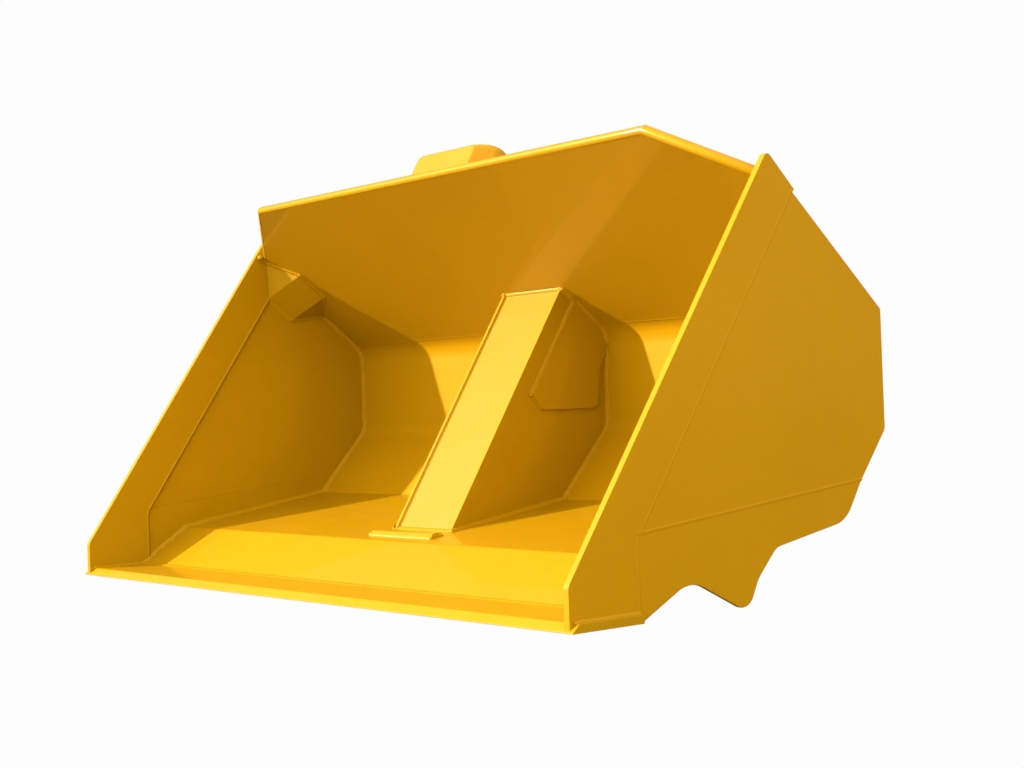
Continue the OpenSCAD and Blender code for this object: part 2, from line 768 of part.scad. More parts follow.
module carrier_arm(s) {
    color(paint) difference() {
        union() {
            plate(s * (arm_x - arm_t / 2), s * (arm_x + arm_t / 2)) arm_outline();
            bar_x(s * (arm_x - boss_len / 2), s * (arm_x + boss_len / 2), hinge, boss_r);
        }
        bar_x(s * (arm_x - boss_len), s * (arm_x + boss_len), hinge, bush_r + run_gap);
    }
}
module carrier_arm_left() { carrier_arm(-1); }
module carrier_arm_right() { carrier_arm(1); }

module hinge_bush(s) {
    color(bronze) difference() {
        bar_x(s * (arm_x - boss_len / 2), s * (arm_x + boss_len / 2), hinge, bush_r);
        bar_x(s * (arm_x - boss_len), s * (arm_x + boss_len), hinge, pin_r + run_gap);
    }
}
module hinge_bush_left() { hinge_bush(-1); }
module hinge_bush_right() { hinge_bush(1); }

module front_cross_tube() {
    x = arm_x - arm_t / 2;
    color(paint) difference() {
        bar_x(-x, x, tube_at, tube_r);
        bar_x(-x - 1, x + 1, tube_at, tube_r - beam_t);
    }
}

module cross_beam(z) {
    x = arm_x - arm_t / 2;
    y = upright_rear - beam;
    color(paint) difference() {
        plate(-x, x) polygon(rounded([[y, z, 12], [y + beam, z, 12], [y + beam, z + beam, 12], [y, z + beam, 12]]));
        plate(-x - 1, x + 1) translate([y + beam_t, z + beam_t]) square(beam - 2 * beam_t);
    }
}
module lower_cross_beam() { cross_beam(low_beam_z); }
module upper_cross_beam() { cross_beam(up_beam_z); }

module coupler_outline() {
    lock = lock_r + lock_wall + 16;
    difference() {
        polygon(rounded([[upright_rear, low_beam_z + 12, 0], [upright_rear, carrier_h - 10, 12],
            [coupler_end, carrier_h - 10, 60], [coupler_end, hook_z - 10, 12],
            [coupler_y + hook_r, hook_z - 10, 0], [coupler_y + hook_r, hook_z, 0],
            [coupler_y - hook_r, hook_z, 0], [coupler_y - hook_r, lock_z + coupler_waist, coupler_waist_r],
            [coupler_y + lock, lock_z + lock - 4, lock - 2],
            [coupler_y + lock, lock_z - lock, lock - 2], [coupler_y - 30, lock_z - lock - 30, 40]]));
        translate([coupler_y, hook_z]) circle(hook_r, $fn = smooth);
    }
}

module coupler_plate(s) {
    x0 = s * (coupler_x - coupler_t / 2);
    x1 = s * (coupler_x + coupler_t / 2);
    color(paint) difference() {
        plate(x0, x1) coupler_outline();
        bar_x(x0 - s, x1 + s, [coupler_y, lock_z], lock_r + lock_wall + run_gap);
    }
}
module coupler_plate_left() { coupler_plate(-1); }
module coupler_plate_right() { coupler_plate(1); }

module lock_bushes() {
    color(steel) for (s = [-1, 1]) difference() {
        bar_x(s * (coupler_x - coupler_t / 2), s * (coupler_x + coupler_t / 2), [coupler_y, lock_z], lock_r + lock_wall);
        bar_x(s * (coupler_x - coupler_t), s * (coupler_x + coupler_t), [coupler_y, lock_z], lock_r);
    }
}

low_bolt_at = low_pivot + [72, 28];
module cylinder_ears() {
    r = pin_r + eye_wall + 9;
    color(paint) difference() {
        for (s = [-1, 1]) plate(s * low_ear_in, s * low_ear_out) difference() {
            polygon(rounded([[low_pivot[0] - r, low_pivot[1] - r, r - 0.5],
                [low_pivot[0] - r, low_pivot[1] + r, r - 0.5],
                [tube_at[0], tube_at[1] + tube_r + 8, 6], [tube_at[0], tube_at[1] - tube_r - 4, 6]]));
            translate(tube_at) circle(tube_r, $fn = smooth);
        }
        bar_x(-low_ear_out - 1, low_ear_out + 1, low_pivot, pin_r + run_gap);
        bar_x(low_ear_in - 1, low_ear_out + 1, low_bolt_at, bolt_r + 0.3);
    }
}

module lower_pin() {
    color(steel) bar_x(-low_ear_out, low_ear_out, low_pivot, pin_r);
}

module lower_keeper() {
    color(paint_dark) keeper(low_ear_out, low_ear_out + keeper_t, low_pivot, low_bolt_at);
}

module lower_keeper_bolt() {
    color(steel) keeper_bolt(low_ear_out + keeper_t, 1, low_bolt_at);
}

// The cylinder's own axis: Z runs from the lower pivot to the rod's eye
module on_cylinder() {
    at_base() translate([0, low_pivot[0], low_pivot[1]]) rotate([cyl_angle - 90, 0, 0]) children();
}
module across(w, z, r) {
    translate([-w / 2, 0, z]) rotate([0, 90, 0]) cylinder(h = w, r = r, $fn = smooth);
}
barrel_end = barrel_start + barrel_len;
base_t = 30;
bore_r = barrel_r - barrel_wall;
low_eye_r = bush_r + eye_wall;
// Blocks on the barrel's sides; their ports point down along the cylinder to the floor's opening
port_x = barrel_r + 14;
port_block = [barrel_r + 28, 44, 46];
port_low = [barrel_start + 40, barrel_end - 65];
port_depth = 24;
feed_r = 5;
module port_blocks() {
    w = port_block[0];
    h = port_block[1] / 2;
    for (i = [0, 1]) mirror([1 - i, 0, 0]) translate([0, 0, port_low[i]])
        linear_extrude(port_block[2])
            polygon(rounded([[0, -h, 0], [w, -h, 10], [w, h, 10], [0, h, 0]]));
}
module port_holes() {
    for (i = [0, 1]) mirror([1 - i, 0, 0]) translate([port_x, 0, port_low[i]]) {
        translate([0, 0, -1]) cylinder(h = port_depth + 1, r = port_r, $fn = smooth);
        translate([bore_r - port_x - 2, 0, port_depth - 2 * feed_r]) rotate([0, 90, 0])
            cylinder(h = port_x - bore_r + 2, r = feed_r, $fn = smooth / 2);
    }
}
module cylinder_barrel() {
    color(paint) on_cylinder() difference() {
        union() {
            across(eye_w, 0, low_eye_r);
            translate([-eye_w / 2, -low_eye_r + 8, 0]) cube([eye_w, 2 * low_eye_r - 16, barrel_start]);
            translate([0, 0, barrel_start]) cylinder(h = barrel_len, r = barrel_r, $fn = smooth);
            port_blocks();
        }
        across(eye_w + 2, 0, bush_r + run_gap);
        translate([0, 0, barrel_start + base_t]) cylinder(h = barrel_len, r = bore_r, $fn = smooth);
        port_holes();
    }
}

module barrel_bush() {
    color(bronze) on_cylinder() difference() {
        across(eye_w, 0, bush_r);
        across(eye_w + 2, 0, pin_r + run_gap);
    }
}

spigot = 35;
wiper_t = 8;
module cylinder_gland() {
    color(steel) on_cylinder() difference() {
        union() {
            translate([0, 0, barrel_end]) cylinder(h = gland_len, r = barrel_r + 4, $fn = smooth);
            translate([0, 0, barrel_end - spigot]) cylinder(h = spigot, r = bore_r - run_gap, $fn = smooth);
        }
        translate([0, 0, barrel_end - spigot - 1]) cylinder(h = gland_len + spigot + 2, r = rod_r + run_gap, $fn = smooth);
        translate([0, 0, barrel_end + gland_len - wiper_t]) cylinder(h = wiper_t + 1, r = rod_r + 8, $fn = smooth);
    }
}

module rod_wiper() {
    color(black) on_cylinder() translate([0, 0, barrel_end + gland_len - wiper_t]) difference() {
        cylinder(h = wiper_t + 3, r = rod_r + 8 - run_gap, $fn = smooth);
        translate([0, 0, -1]) cylinder(h = wiper_t + 5, r = rod_r + run_gap, $fn = smooth);
    }
}

piston_at = barrel_start + base_t + 55;
nut_h = 28;
neck_r = 24;
up_eye_r = pin_r + eye_gap + eye_wall + 10;
module cylinder_rod() {
    color(chrome) on_cylinder() difference() {
        union() {
            translate([0, 0, piston_at - nut_h]) cylinder(h = piston_len + nut_h, r = neck_r, $fn = smooth);
            translate([0, 0, piston_at + piston_len])
                cylinder(h = cyl_len - piston_at - piston_len - pin_r - eye_gap - 4, r = rod_r, $fn = smooth);
            across(eye_w, cyl_len, up_eye_r);
        }
        across(eye_w + 2, cyl_len, pin_r + eye_gap);
    }
}

ring_t = 8;
ring_in = 6;
module ring_grooves(r_in, r_out) {
    for (z = [12, piston_len - 12 - ring_t]) translate([0, 0, piston_at + z]) difference() {
        cylinder(h = ring_t, r = r_out, $fn = smooth);
        translate([0, 0, -1]) cylinder(h = ring_t + 2, r = r_in, $fn = smooth);
    }
}

module cylinder_piston() {
    r = bore_r - 1;
    color(steel) on_cylinder() difference() {
        translate([0, 0, piston_at]) cylinder(h = piston_len, r = r, $fn = smooth);
        translate([0, 0, piston_at - 1]) cylinder(h = piston_len + 2, r = neck_r + run_gap, $fn = smooth);
        ring_grooves(r - ring_in, r + 1);
    }
}

module piston_rings() {
    color(black) on_cylinder() ring_grooves(bore_r - 1 - ring_in + run_gap, bore_r - run_gap);
}

module piston_nut() {
    color(steel) on_cylinder() translate([0, 0, piston_at - nut_h]) difference() {
        cylinder(h = nut_h, r = 40, $fn = 6);
        translate([0, 0, -1]) cylinder(h = nut_h + 2, r = neck_r + run_gap, $fn = smooth);
    }
}

cutting_edge();
floor_plate();
rear_plate();
upper_plate();
top_edge();
top_hood();
side_cutter_left();
side_cutter_right();
side_plate_left();
side_plate_right();
skid_plate_left();
skid_plate_right();
corner_gusset_left();
corner_gusset_right();
box_web_left();
box_web_right();
box_cover();
web_doubler_left();
web_doubler_right();
box_foot_bar();
lip_ribs();
hinge_ears_left();
hinge_ears_right();
hinge_pin_left();
hinge_pin_right();
hinge_keepers();
hinge_keeper_bolts();
upper_pin();
upper_pin_bosses();
rear_stop_plates();
carrier_arm_left();
carrier_arm_right();
hinge_bush_left();
hinge_bush_right();
front_cross_tube();
lower_cross_beam();
upper_cross_beam();
coupler_plate_left();
coupler_plate_right();
lock_bushes();
cylinder_ears();
lower_pin();
lower_keeper();
lower_keeper_bolt();
stop_pads();
cylinder_barrel();
barrel_bush();
cylinder_gland();
rod_wiper();
cylinder_rod();
cylinder_piston();
piston_rings();
piston_nut();
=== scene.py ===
import math
import random

import bmesh
import bpy
from mathutils import Matrix, Vector


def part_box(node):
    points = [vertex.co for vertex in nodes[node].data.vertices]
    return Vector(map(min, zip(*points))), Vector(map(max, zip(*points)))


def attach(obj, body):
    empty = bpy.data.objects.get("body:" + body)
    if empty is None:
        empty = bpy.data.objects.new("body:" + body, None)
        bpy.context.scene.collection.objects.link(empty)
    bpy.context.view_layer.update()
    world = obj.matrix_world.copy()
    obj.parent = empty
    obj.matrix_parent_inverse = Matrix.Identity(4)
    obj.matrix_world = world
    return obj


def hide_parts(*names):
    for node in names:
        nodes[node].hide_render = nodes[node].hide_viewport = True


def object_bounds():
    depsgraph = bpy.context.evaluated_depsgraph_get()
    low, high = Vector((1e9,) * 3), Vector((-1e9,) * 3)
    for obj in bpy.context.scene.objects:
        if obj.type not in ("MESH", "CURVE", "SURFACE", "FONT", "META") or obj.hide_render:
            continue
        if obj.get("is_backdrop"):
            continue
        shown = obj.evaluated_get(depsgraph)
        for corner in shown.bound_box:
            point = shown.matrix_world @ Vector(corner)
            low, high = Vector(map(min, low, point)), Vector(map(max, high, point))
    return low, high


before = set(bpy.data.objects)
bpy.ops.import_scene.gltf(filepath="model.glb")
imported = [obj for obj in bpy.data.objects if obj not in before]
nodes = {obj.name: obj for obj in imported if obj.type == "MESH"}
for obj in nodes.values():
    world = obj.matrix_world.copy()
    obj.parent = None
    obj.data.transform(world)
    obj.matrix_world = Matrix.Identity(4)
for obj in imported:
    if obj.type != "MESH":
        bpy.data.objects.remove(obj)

for name in ("Cube", "Light", "Camera"):
    spare = bpy.data.objects.get(name)
    if spare:
        bpy.data.objects.remove(spare)

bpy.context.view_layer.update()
random.seed(41)

# The bucket's drawing is in millimetres: X across, Y back from the cutting edge's front,
# Z up. The row frame is in metres, with its origin under the middle of the whole depth.
# Points, directions and lines with two numbers belong to the side view, as (y, z).
DEPTH_MIDDLE = 781.0
X, Y, Z = Vector((1, 0, 0)), Vector((0, 1, 0)), Vector((0, 0, 1))


def at(x, y, z):
    """A point of the drawing, in the row frame."""
    return Vector((x, y - DEPTH_MIDDLE, z)) / 1000


def along(angle):
    """A direction in the side view."""
    return Vector((math.cos(math.radians(angle)), math.sin(math.radians(angle))))


def across(v):
    """A side view direction as a direction of the row frame."""
    return Vector((0, v[0], v[1]))


def meet(p, d, q, e):
    """Where two lines of the side view cross."""
    return p + d * ((q - p).cross(e) / d.cross(e))


def at_depth(p, d, y):
    """Where a line of the side view reaches a depth."""
    return meet(p, d, Vector((y, 0)), Vector((0, 1)))


def at_height(p, d, z):
    """Where a line of the side view reaches a height."""
    return meet(p, d, Vector((0, z)), Vector((1, 0)))


# Side view of the shell's inside, as the part's source has it
BLADE_DEPTH, BLADE_T = 254.0, 25.0
BLADE_BEVEL = 25
SHELL = 10.0
INNER_DEPTH = 1295.0
LIP_H, FLOOR_LENGTH = 126, 653
HEEL_R, ROLL_R = 90.0, 100.0
LIP_FOOT = Vector((229.0, BLADE_T))
LIP = along(33)
LIP_BEND = LIP_FOOT + LIP * (LIP_H / LIP.y)
FLOOR = along(8.7)
FLOOR_UP = Vector((-FLOOR.y, FLOOR.x))
FLOOR_REAR = LIP_BEND + FLOOR * FLOOR_LENGTH
UP = along(180 - 38.5)
OUT = Vector((UP.y, -UP.x))
TOP = Vector((602.0, 1383.0))
OUTER_TOP = TOP + OUT * SHELL
HEEL_TOP = at_depth(FLOOR_REAR, along(47.4), INNER_DEPTH)
ROLL_TOP = at_depth(TOP, UP, INNER_DEPTH)
# How far the upper plate's side edges start below the top
PLATE_SIDE_START = 249

# Places across the bucket
CUTTER_OUT, CUTTER_IN, SIDE_IN = 1383.0, 1363.0, 1371.0
WEB_OUT, WEB_IN, DOUBLER_OUT = 160.0, 148.0, 172.0

# The cylinder box
BOX_DEPTH = 730.0
COVER_SET_BACK = 8.0
BOX = along(57.3)
BOX_BACK = Vector((BOX.y, -BOX.x))
BOX_FOOT = at_depth(LIP_BEND, FLOOR, INNER_DEPTH - BOX_DEPTH)
BOX_TOP = meet(BOX_FOOT, BOX, TOP, UP)
DOUBLER_SET_BACK, DOUBLER_LOW = 70, 618
DOUBLER_TOE = (46, 567)
DOUBLER_SHELL_Z = 795
FOOT_BAR_Y, FOOT_BAR_WIDTH = 478, 36

# Side cutter, side plate and the seams between them
CUTTER_W, TIP_Z = 147, 1291
CUTTER = along(55.2)
CUTTER_FOOT = Vector((4.0, 119.0))
TIP = CUTTER_FOOT + CUTTER * ((TIP_Z - CUTTER_FOOT.y) / CUTTER.y)
SEAM_START = CUTTER_FOOT + Vector((CUTTER.y, -CUTTER.x)) * CUTTER_W
SEAM_FOOT = at_depth(SEAM_START, CUTTER, BLADE_DEPTH)
SEAM_TOP = meet(SEAM_START, CUTTER, TIP, along(-43.4))
SEAM_R = 60
SIDE_FOOT = BLADE_DEPTH + 8
LOWER_SEAM = (Vector((283.0, 239.0)), Vector((1187.0, 329.0)))
SEAM_WAY = (LOWER_SEAM[1] - LOWER_SEAM[0]).normalized()

# Skid plate: the arch, the round foot, the hollow behind it and the heel
SKID_CORNERS = [Vector((SIDE_FOOT, 0)), Vector((449, 95)), Vector((672, -16)), Vector((718, 74)),
                Vector((798, 156)), Vector((1109, 210)), LOWER_SEAM[1]]
SKID_RADII = (110, 48, 90, 60, 110)

# Corner gusset: its ends and its folds down the upper plate, its reach along both plates
GUSSET_ENDS = (279, 635)
GUSSET_FLAT = (381, 524)
GUSSET_SIDE, GUSSET_DROP = 145, 112

# Folded top edge and hood
EDGE_WIDTH, EDGE_HALF = 84, 1062
EDGE_REAR = TOP + along(18.7) * EDGE_WIDTH
HOOD_NARROW, HOOD_WIDE = 160, 225
HOOD_RISE, HOOD_ROOF, HOOD_BACK = 93, 45, 330
HOOD_FRONT = along(59.4)
HOOD_INWARD = Vector((HOOD_FRONT.y, -HOOD_FRONT.x))
HOOD_START = EDGE_REAR + Vector((18, 12))
HOOD_REAR = (-UP * 60 - OUT * 170).normalized()
HOOD_BEAD_RUN = 18

# Carrier and cylinder
ARM_FRONT_Y = 603
LOW_PIVOT = Vector((822.0, 78.0))
UPPER_PIN = Vector((1121.4, 764.6))
BARREL_R = 72

ARC_STEP = 6


def bend(a, b, c, radius):
    """The corner b of a line as an arc."""
    before, after = (a - b).normalized(), (c - b).normalized()
    half = before.angle(after) / 2
    reach = radius / math.tan(half)
    centre = b + (before + after).normalized() * (radius / math.sin(half))
    start, end = b + before * reach - centre, b + after * reach - centre
    sweep = start.angle_signed(end)
    n = max(2, int(abs(math.degrees(sweep)) / ARC_STEP))
    return [centre + Matrix.Rotation(-sweep * i / n, 2) @ start for i in range(n + 1)]


def shell_line(offset=0.0):
    """The shell's side view, the given distance outside its inner face."""
    corners = [LIP_FOOT, LIP_BEND, FLOOR_REAR, HEEL_TOP, ROLL_TOP, TOP]
    if offset:
        moved = []
        for a, b in zip(corners, corners[1:]):
            d = (b - a).normalized()
            moved.append((a + Vector((d.y, -d.x)) * offset, d))
        corners = ([moved[0][0]]
                   + [meet(p, d, q, e) for (p, d), (q, e) in zip(moved, moved[1:])]
                   + [TOP + OUT * offset])
    return (corners[:3]
            + bend(*corners[2:5], HEEL_R + offset)
            + bend(*corners[3:6], ROLL_R + offset)
            + corners[5:])


def part_of(line, start, end):
    """The stretch of a line between the points nearest to start and end."""
    spots = []
    for target in (start, end):
        best = None
        run = 0.0
        for a, b in zip(line, line[1:]):
            d = b - a
            t = max(0.0, min(1.0, (target - a).dot(d) / d.length_squared))
            gap = (a + d * t - target).length
            if best is None or gap < best[0]:
                best = (gap, run + d.length * t, a + d * t)
            run += d.length
        spots.append(best)
    kept = [spots[0][2]]
    run = 0.0
    for a, b in zip(line, line[1:]):
        run += (b - a).length
        if spots[0][1] + 0.01 < run < spots[1][1] - 0.01:
            kept.append(b)
    return kept + [spots[1][2]]


def run_at(points, i):
    """The direction of a line of points at one of them."""
    return (points[min(i + 1, len(points) - 1)] - points[max(i - 1, 0)]).normalized()


def off_edge(start, end, inner):
    """The direction square to an edge, towards a point."""
    e = (end - start).normalized()
    v = inner - start
    return v - e * v.dot(e)


# Weld beads, in millimetres: ripples, legs, crowns and how deep their roots go
RIPPLE = 9.0
RIPPLE_STEPS = 3
BEAD_POINTS = 5
LEG, CROWN = 9.0, 2.2
BEAD_ROOT = 1.0


def row(point, side_a, side_b, crown=None):
    """One station of a bead: its corner and the directions along the two faces it joins."""
    a, b = side_a.normalized(), side_b.normalized()
    return point, a, b, (crown or (a + b)).normalized()


def even_rows(rows, closed=False):
    """The same stations at even steps of a third of a ripple."""
    if closed:
        rows = rows + rows[:1]
    step = RIPPLE / RIPPLE_STEPS / 1000
    made, carry = [], 0.0
    for first, second in zip(rows, rows[1:]):
        length = (second[0] - first[0]).length
        if length < 1e-7:
            continue
        run = carry
        while run < length:
            t = run / length
            made.append([u.lerp(v, t) for u, v in zip(first, second)])
            run += step
        carry = run - length
    if not closed:
        made.append(list(rows[-1]))
    return made


def skin(bm, rings, closed=False):
    """Faces from ring to ring, with the ends filled unless they close; the pairs of rings."""
    pairs = list(zip(rings, rings[1:]))
    if closed:
        pairs.append((rings[-1], rings[0]))
    for near, ahead in pairs:
        for k in range(len(near)):
            m = (k + 1) % len(near)
            bm.faces.new((near[k], near[m], ahead[m], ahead[k]))
    if not closed:
        bm.faces.new(rings[0][::-1])
        bm.faces.new(rings[-1])
    return pairs


def lay_bead(bm, rows, leg=LEG, height=CROWN, closed=False):
    """A fillet or butt weld with its ripples, along the stations."""
    rings = []
    for i, (point, a, b, crown) in enumerate(even_rows(rows, closed)):
        scale = (i % RIPPLE_STEPS) / (RIPPLE_STEPS - 1)
        reach = leg / 1000 * (0.93 + 0.10 * scale + random.uniform(-0.02, 0.02))
        rise = height / 1000 * (0.75 + 0.5 * scale + random.uniform(-0.06, 0.06))
        ring = []
        for k in range(BEAD_POINTS):
            t = k / (BEAD_POINTS - 1)
            ring.append(bm.verts.new(point + a * reach * (1 - t) + b * reach * t
                                     + crown * rise * 4 * t * (1 - t)))
        ring.append(bm.verts.new(point - crown * BEAD_ROOT / 1000))
        rings.append(ring)
    for near, ahead in skin(bm, rings, closed):
        for k in (0, BEAD_POINTS - 1):
            bm.edges.get((near[k], ahead[k])).smooth = False


def bead_between(bm, start, end, side_a, side_b, leg=LEG, height=CROWN):
    """One straight bead."""
    lay_bead(bm, [row(start, side_a, side_b), row(end, side_a, side_b)], leg, height)


def flush_bead(bm, points, crown, width, height=1.2):
    """A butt weld that stands a little proud of a flat face, along a line of points."""
    rows = []
    for i, p in enumerate(points):
        aside = run_at(points, i).cross(crown).normalized()
        rows.append(row(p, aside, -aside, crown))
    lay_bead(bm, rows, width, height)


def shell_rows(line, x, side_x, inward=1):
    """Stations in the corner between a face that follows a line and a plate that stands at x."""
    rows = []
    for i, p in enumerate(line):
        d = run_at(line, i)
        rows.append(row(at(x, *p), across((-d.y * inward, d.x * inward)), X * side_x))
    return rows


def ring_rows(centre, radius, axis, start=0.0, sweep=360.0, count=36):
    """Stations round a tube; the bead reaches out from it and along the axis given."""
    first = axis.orthogonal().normalized() if abs(axis.x) < 0.5 else Y
    rows = []
    for i in range(count):
        turn = Matrix.Rotation(math.radians(start + sweep * i / count), 3, axis)
        out = turn @ first
        rows.append(row(centre + out * radius / 1000, out, axis))
    return rows


def lump(bm, centre, size, squash):
    """A drop of weld metal left where a bead starts or ends."""
    made = bmesh.ops.create_icosphere(bm, subdivisions=3, radius=size / 1000)
    for v in made["verts"]:
        v.co *= 1 + random.uniform(-0.05, 0.05)
        v.co.z *= squash
    half_turn = Matrix.Rotation(math.pi, 4, "Z")
    bmesh.ops.transform(bm, matrix=Matrix.Translation(centre) @ half_turn, verts=made["verts"])


def piece(name, bm, body, material, smooth=True):
    """A finished mesh as an object that rides on a body."""
    bmesh.ops.recalc_face_normals(bm, faces=bm.faces)
    mesh = bpy.data.meshes.new(name)
    bm.to_mesh(mesh)
    bm.free()
    mesh.polygons.foreach_set("use_smooth", [smooth] * len(mesh.polygons))
    obj = bpy.data.objects.new(name, mesh)
    bpy.context.scene.collection.objects.link(obj)
    mesh.materials.append(material)
    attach(obj, body)
    return obj


# Shader nodes
def put(tree, value, socket):
    """Gives an input a value of its own or another node's output."""
    if isinstance(value, bpy.types.NodeSocket):
        tree.links.new(value, socket)
    else:
        socket.default_value = value


def noise(tree, position, scale, detail=2.0, roughness=0.5):
    """A noise texture on the piece's own coordinates; scale may be a socket."""
    n = tree.nodes.new("ShaderNodeTexNoise")
    n.inputs["Detail"].default_value = detail
    n.inputs["Roughness"].default_value = roughness
    tree.links.new(position, n.inputs["Vector"])
    put(tree, scale, n.inputs["Scale"])
    return n.outputs["Fac"]


def math_node(tree, operation, a, b, clamp=False):
    n = tree.nodes.new("ShaderNodeMath")
    n.operation = operation
    n.use_clamp = clamp
    for socket, value in zip(n.inputs, (a, b)):
        put(tree, value, socket)
    return n.outputs[0]


def sum_of(tree, a, share_a, b, share_b):
    """Two values added up, each with its share."""
    return math_node(tree, "ADD", math_node(tree, "MULTIPLY", a, share_a),
                     math_node(tree, "MULTIPLY", b, share_b))


def remap(tree, value, low, high, to_low, to_high):
    n = tree.nodes.new("ShaderNodeMapRange")
    n.clamp = True
    for label, v in (("Value", value), ("From Min", low), ("From Max", high),
                     ("To Min", to_low), ("To Max", to_high)):
        put(tree, v, n.inputs[label])
    return n.outputs["Result"]


def mix_colours(tree, factor, a, b):
    mix = tree.nodes.new("ShaderNodeMix")
    mix.data_type = "RGBA"
    for label, value in (("Factor", factor), ("A", a), ("B", b)):
        put(tree, value, mix.inputs[label])
    return mix.outputs["Result"]


def new_group(name, inputs, outputs):
    group = bpy.data.node_groups.new(name, "ShaderNodeTree")
    for label, kind, value in inputs:
        socket = group.interface.new_socket(label, in_out="INPUT", socket_type=kind)
        socket.default_value = value
    for label, kind in outputs:
        group.interface.new_socket(label, in_out="OUTPUT", socket_type=kind)
    return (group, group.nodes.new("NodeGroupInput").outputs,
            group.nodes.new("NodeGroupOutput").inputs)


# Shared shader effects
COLOUR, NUMBER, VECTOR = "NodeSocketColor", "NodeSocketFloat", "NodeSocketVector"
WHITE = (1, 1, 1, 1)


def make_sprayed_coat():
    """Sprayed paint: slow changes of tone, orange peel and uneven gloss."""
    group, given, made = new_group(
        "sprayed_coat",
        [("Vector", VECTOR, (0, 0, 0)), ("Colour", COLOUR, WHITE), ("Deep Colour", COLOUR, WHITE),
         ("Gloss Low", NUMBER, 0.25), ("Gloss High", NUMBER, 0.4), ("Peel Size", NUMBER, 260.0)],
        [("Colour", COLOUR), ("Roughness", NUMBER), ("Height", NUMBER)])
    where = given["Vector"]
    slow = noise(group, where, 1.7, 3.0)
    fine = noise(group, where, 23.0, 4.0, 0.6)
    tone = remap(group, sum_of(group, slow, 0.75, fine, 0.25), 0.35, 0.68, 0.0, 1.0)
    put(group, mix_colours(group, tone, given["Colour"], given["Deep Colour"]), made["Colour"])
    haze = noise(group, where, 6.0, 5.0, 0.65)
    put(group, remap(group, haze, 0.3, 0.7, given["Gloss Low"], given["Gloss High"]),
        made["Roughness"])
    peel = noise(group, where, given["Peel Size"], 1.5)
    wave = noise(group, where, 9.0, 1.0)
    put(group, sum_of(group, peel, 0.5, wave, 2.0), made["Height"])
    return group


def make_dust_film():
    """Thin dust and handling marks: a mask that gathers on faces that look up."""
    group, given, made = new_group(
        "dust_film",
        [("Vector", VECTOR, (0, 0, 0)), ("Amount", NUMBER, 0.2), ("Colour", COLOUR, WHITE),
         ("Dust", COLOUR, (0.5, 0.4, 0.3, 1)), ("Roughness", NUMBER, 0.3)],
        [("Colour", COLOUR), ("Roughness", NUMBER)])
    normal = group.nodes.new("ShaderNodeNewGeometry").outputs["Normal"]
    split = group.nodes.new("ShaderNodeSeparateXYZ")
    put(group, normal, split.inputs[0])
    up = remap(group, split.outputs["Z"], 0.2, 1.0, 0.15, 1.0)
    cloud = remap(group, noise(group, given["Vector"], 4.5, 8.0, 0.7), 0.45, 0.75, 0.0, 1.0)
    mask = math_node(group, "MULTIPLY", math_node(group, "MULTIPLY", cloud, up),
                     given["Amount"], clamp=True)
    put(group, mix_colours(group, mask, given["Colour"], given["Dust"]), made["Colour"])
    put(group, math_node(group, "ADD", given["Roughness"],
                         math_node(group, "MULTIPLY", mask, 0.3)), made["Roughness"])
    return group


def make_machining():
    """Fine turning or drawing lines: tone, gloss and height along one axis."""
    group, given, made = new_group(
        "machining_marks",
        [("Vector", VECTOR, (0, 0, 0)), ("Stretch", VECTOR, (900, 6, 6)),
         ("Colour", COLOUR, WHITE), ("Deep Colour", COLOUR, WHITE),
         ("Gloss Low", NUMBER, 0.2), ("Gloss High", NUMBER, 0.4)],
        [("Colour", COLOUR), ("Roughness", NUMBER), ("Height", NUMBER)])
    stretch = group.nodes.new("ShaderNodeVectorMath")
    stretch.operation = "MULTIPLY"
    put(group, given["Vector"], stretch.inputs[0])
    put(group, given["Stretch"], stretch.inputs[1])
    lines = noise(group, stretch.outputs[0], 1.0, 3.0, 0.6)
    blot = noise(group, given["Vector"], 14.0, 4.0)
    tone = remap(group, sum_of(group, lines, 0.6, blot, 0.4), 0.35, 0.65, 0.0, 1.0)
    put(group, mix_colours(group, tone, given["Colour"], given["Deep Colour"]), made["Colour"])
    put(group, remap(group, lines, 0.3, 0.7, given["Gloss Low"], given["Gloss High"]),
        made["Roughness"])
    put(group, lines, made["Height"])
    return group


SPRAYED = make_sprayed_coat()
DUST = make_dust_film()
MACHINED = make_machining()


def start_material(name):
    """A material with its shader and the piece's own coordinates."""
    material = bpy.data.materials.new(name)
    material.use_nodes = True
    tree = material.node_tree
    where = tree.nodes.new("ShaderNodeTexCoord").outputs["Object"]
    return material, tree, tree.nodes["Principled BSDF"], where


def use_group(tree, group, where, **values):
    """A shared effect placed in a material; its outputs."""
    node = tree.nodes.new("ShaderNodeGroup")
    node.node_tree = group
    put(tree, where, node.inputs["Vector"])
    for label, value in values.items():
        put(tree, value, node.inputs[label.replace("_", " ")])
    return node.outputs


def dust_over(tree, shader, where, surface, amount, dust):
    """Dust over a surface: sets the gloss and gives the colour."""
    film = use_group(tree, DUST, where, Amount=amount, Colour=surface["Colour"], Dust=dust,
                     Roughness=surface["Roughness"])
    put(tree, film["Roughness"], shader.inputs["Roughness"])
    return film["Colour"]


def raise_surface(tree, shader, height, distance):
    bump = tree.nodes.new("ShaderNodeBump")
    bump.inputs["Distance"].default_value = distance
    bump.inputs["Strength"].default_value = 1.0
    put(tree, height, bump.inputs["Height"])
    put(tree, bump.outputs["Normal"], shader.inputs["Normal"])


# Light that one painted plate throws on to the next, calmer than the paint's own colour
PLATE_BOUNCE = (0.17, 0.165, 0.055, 1)


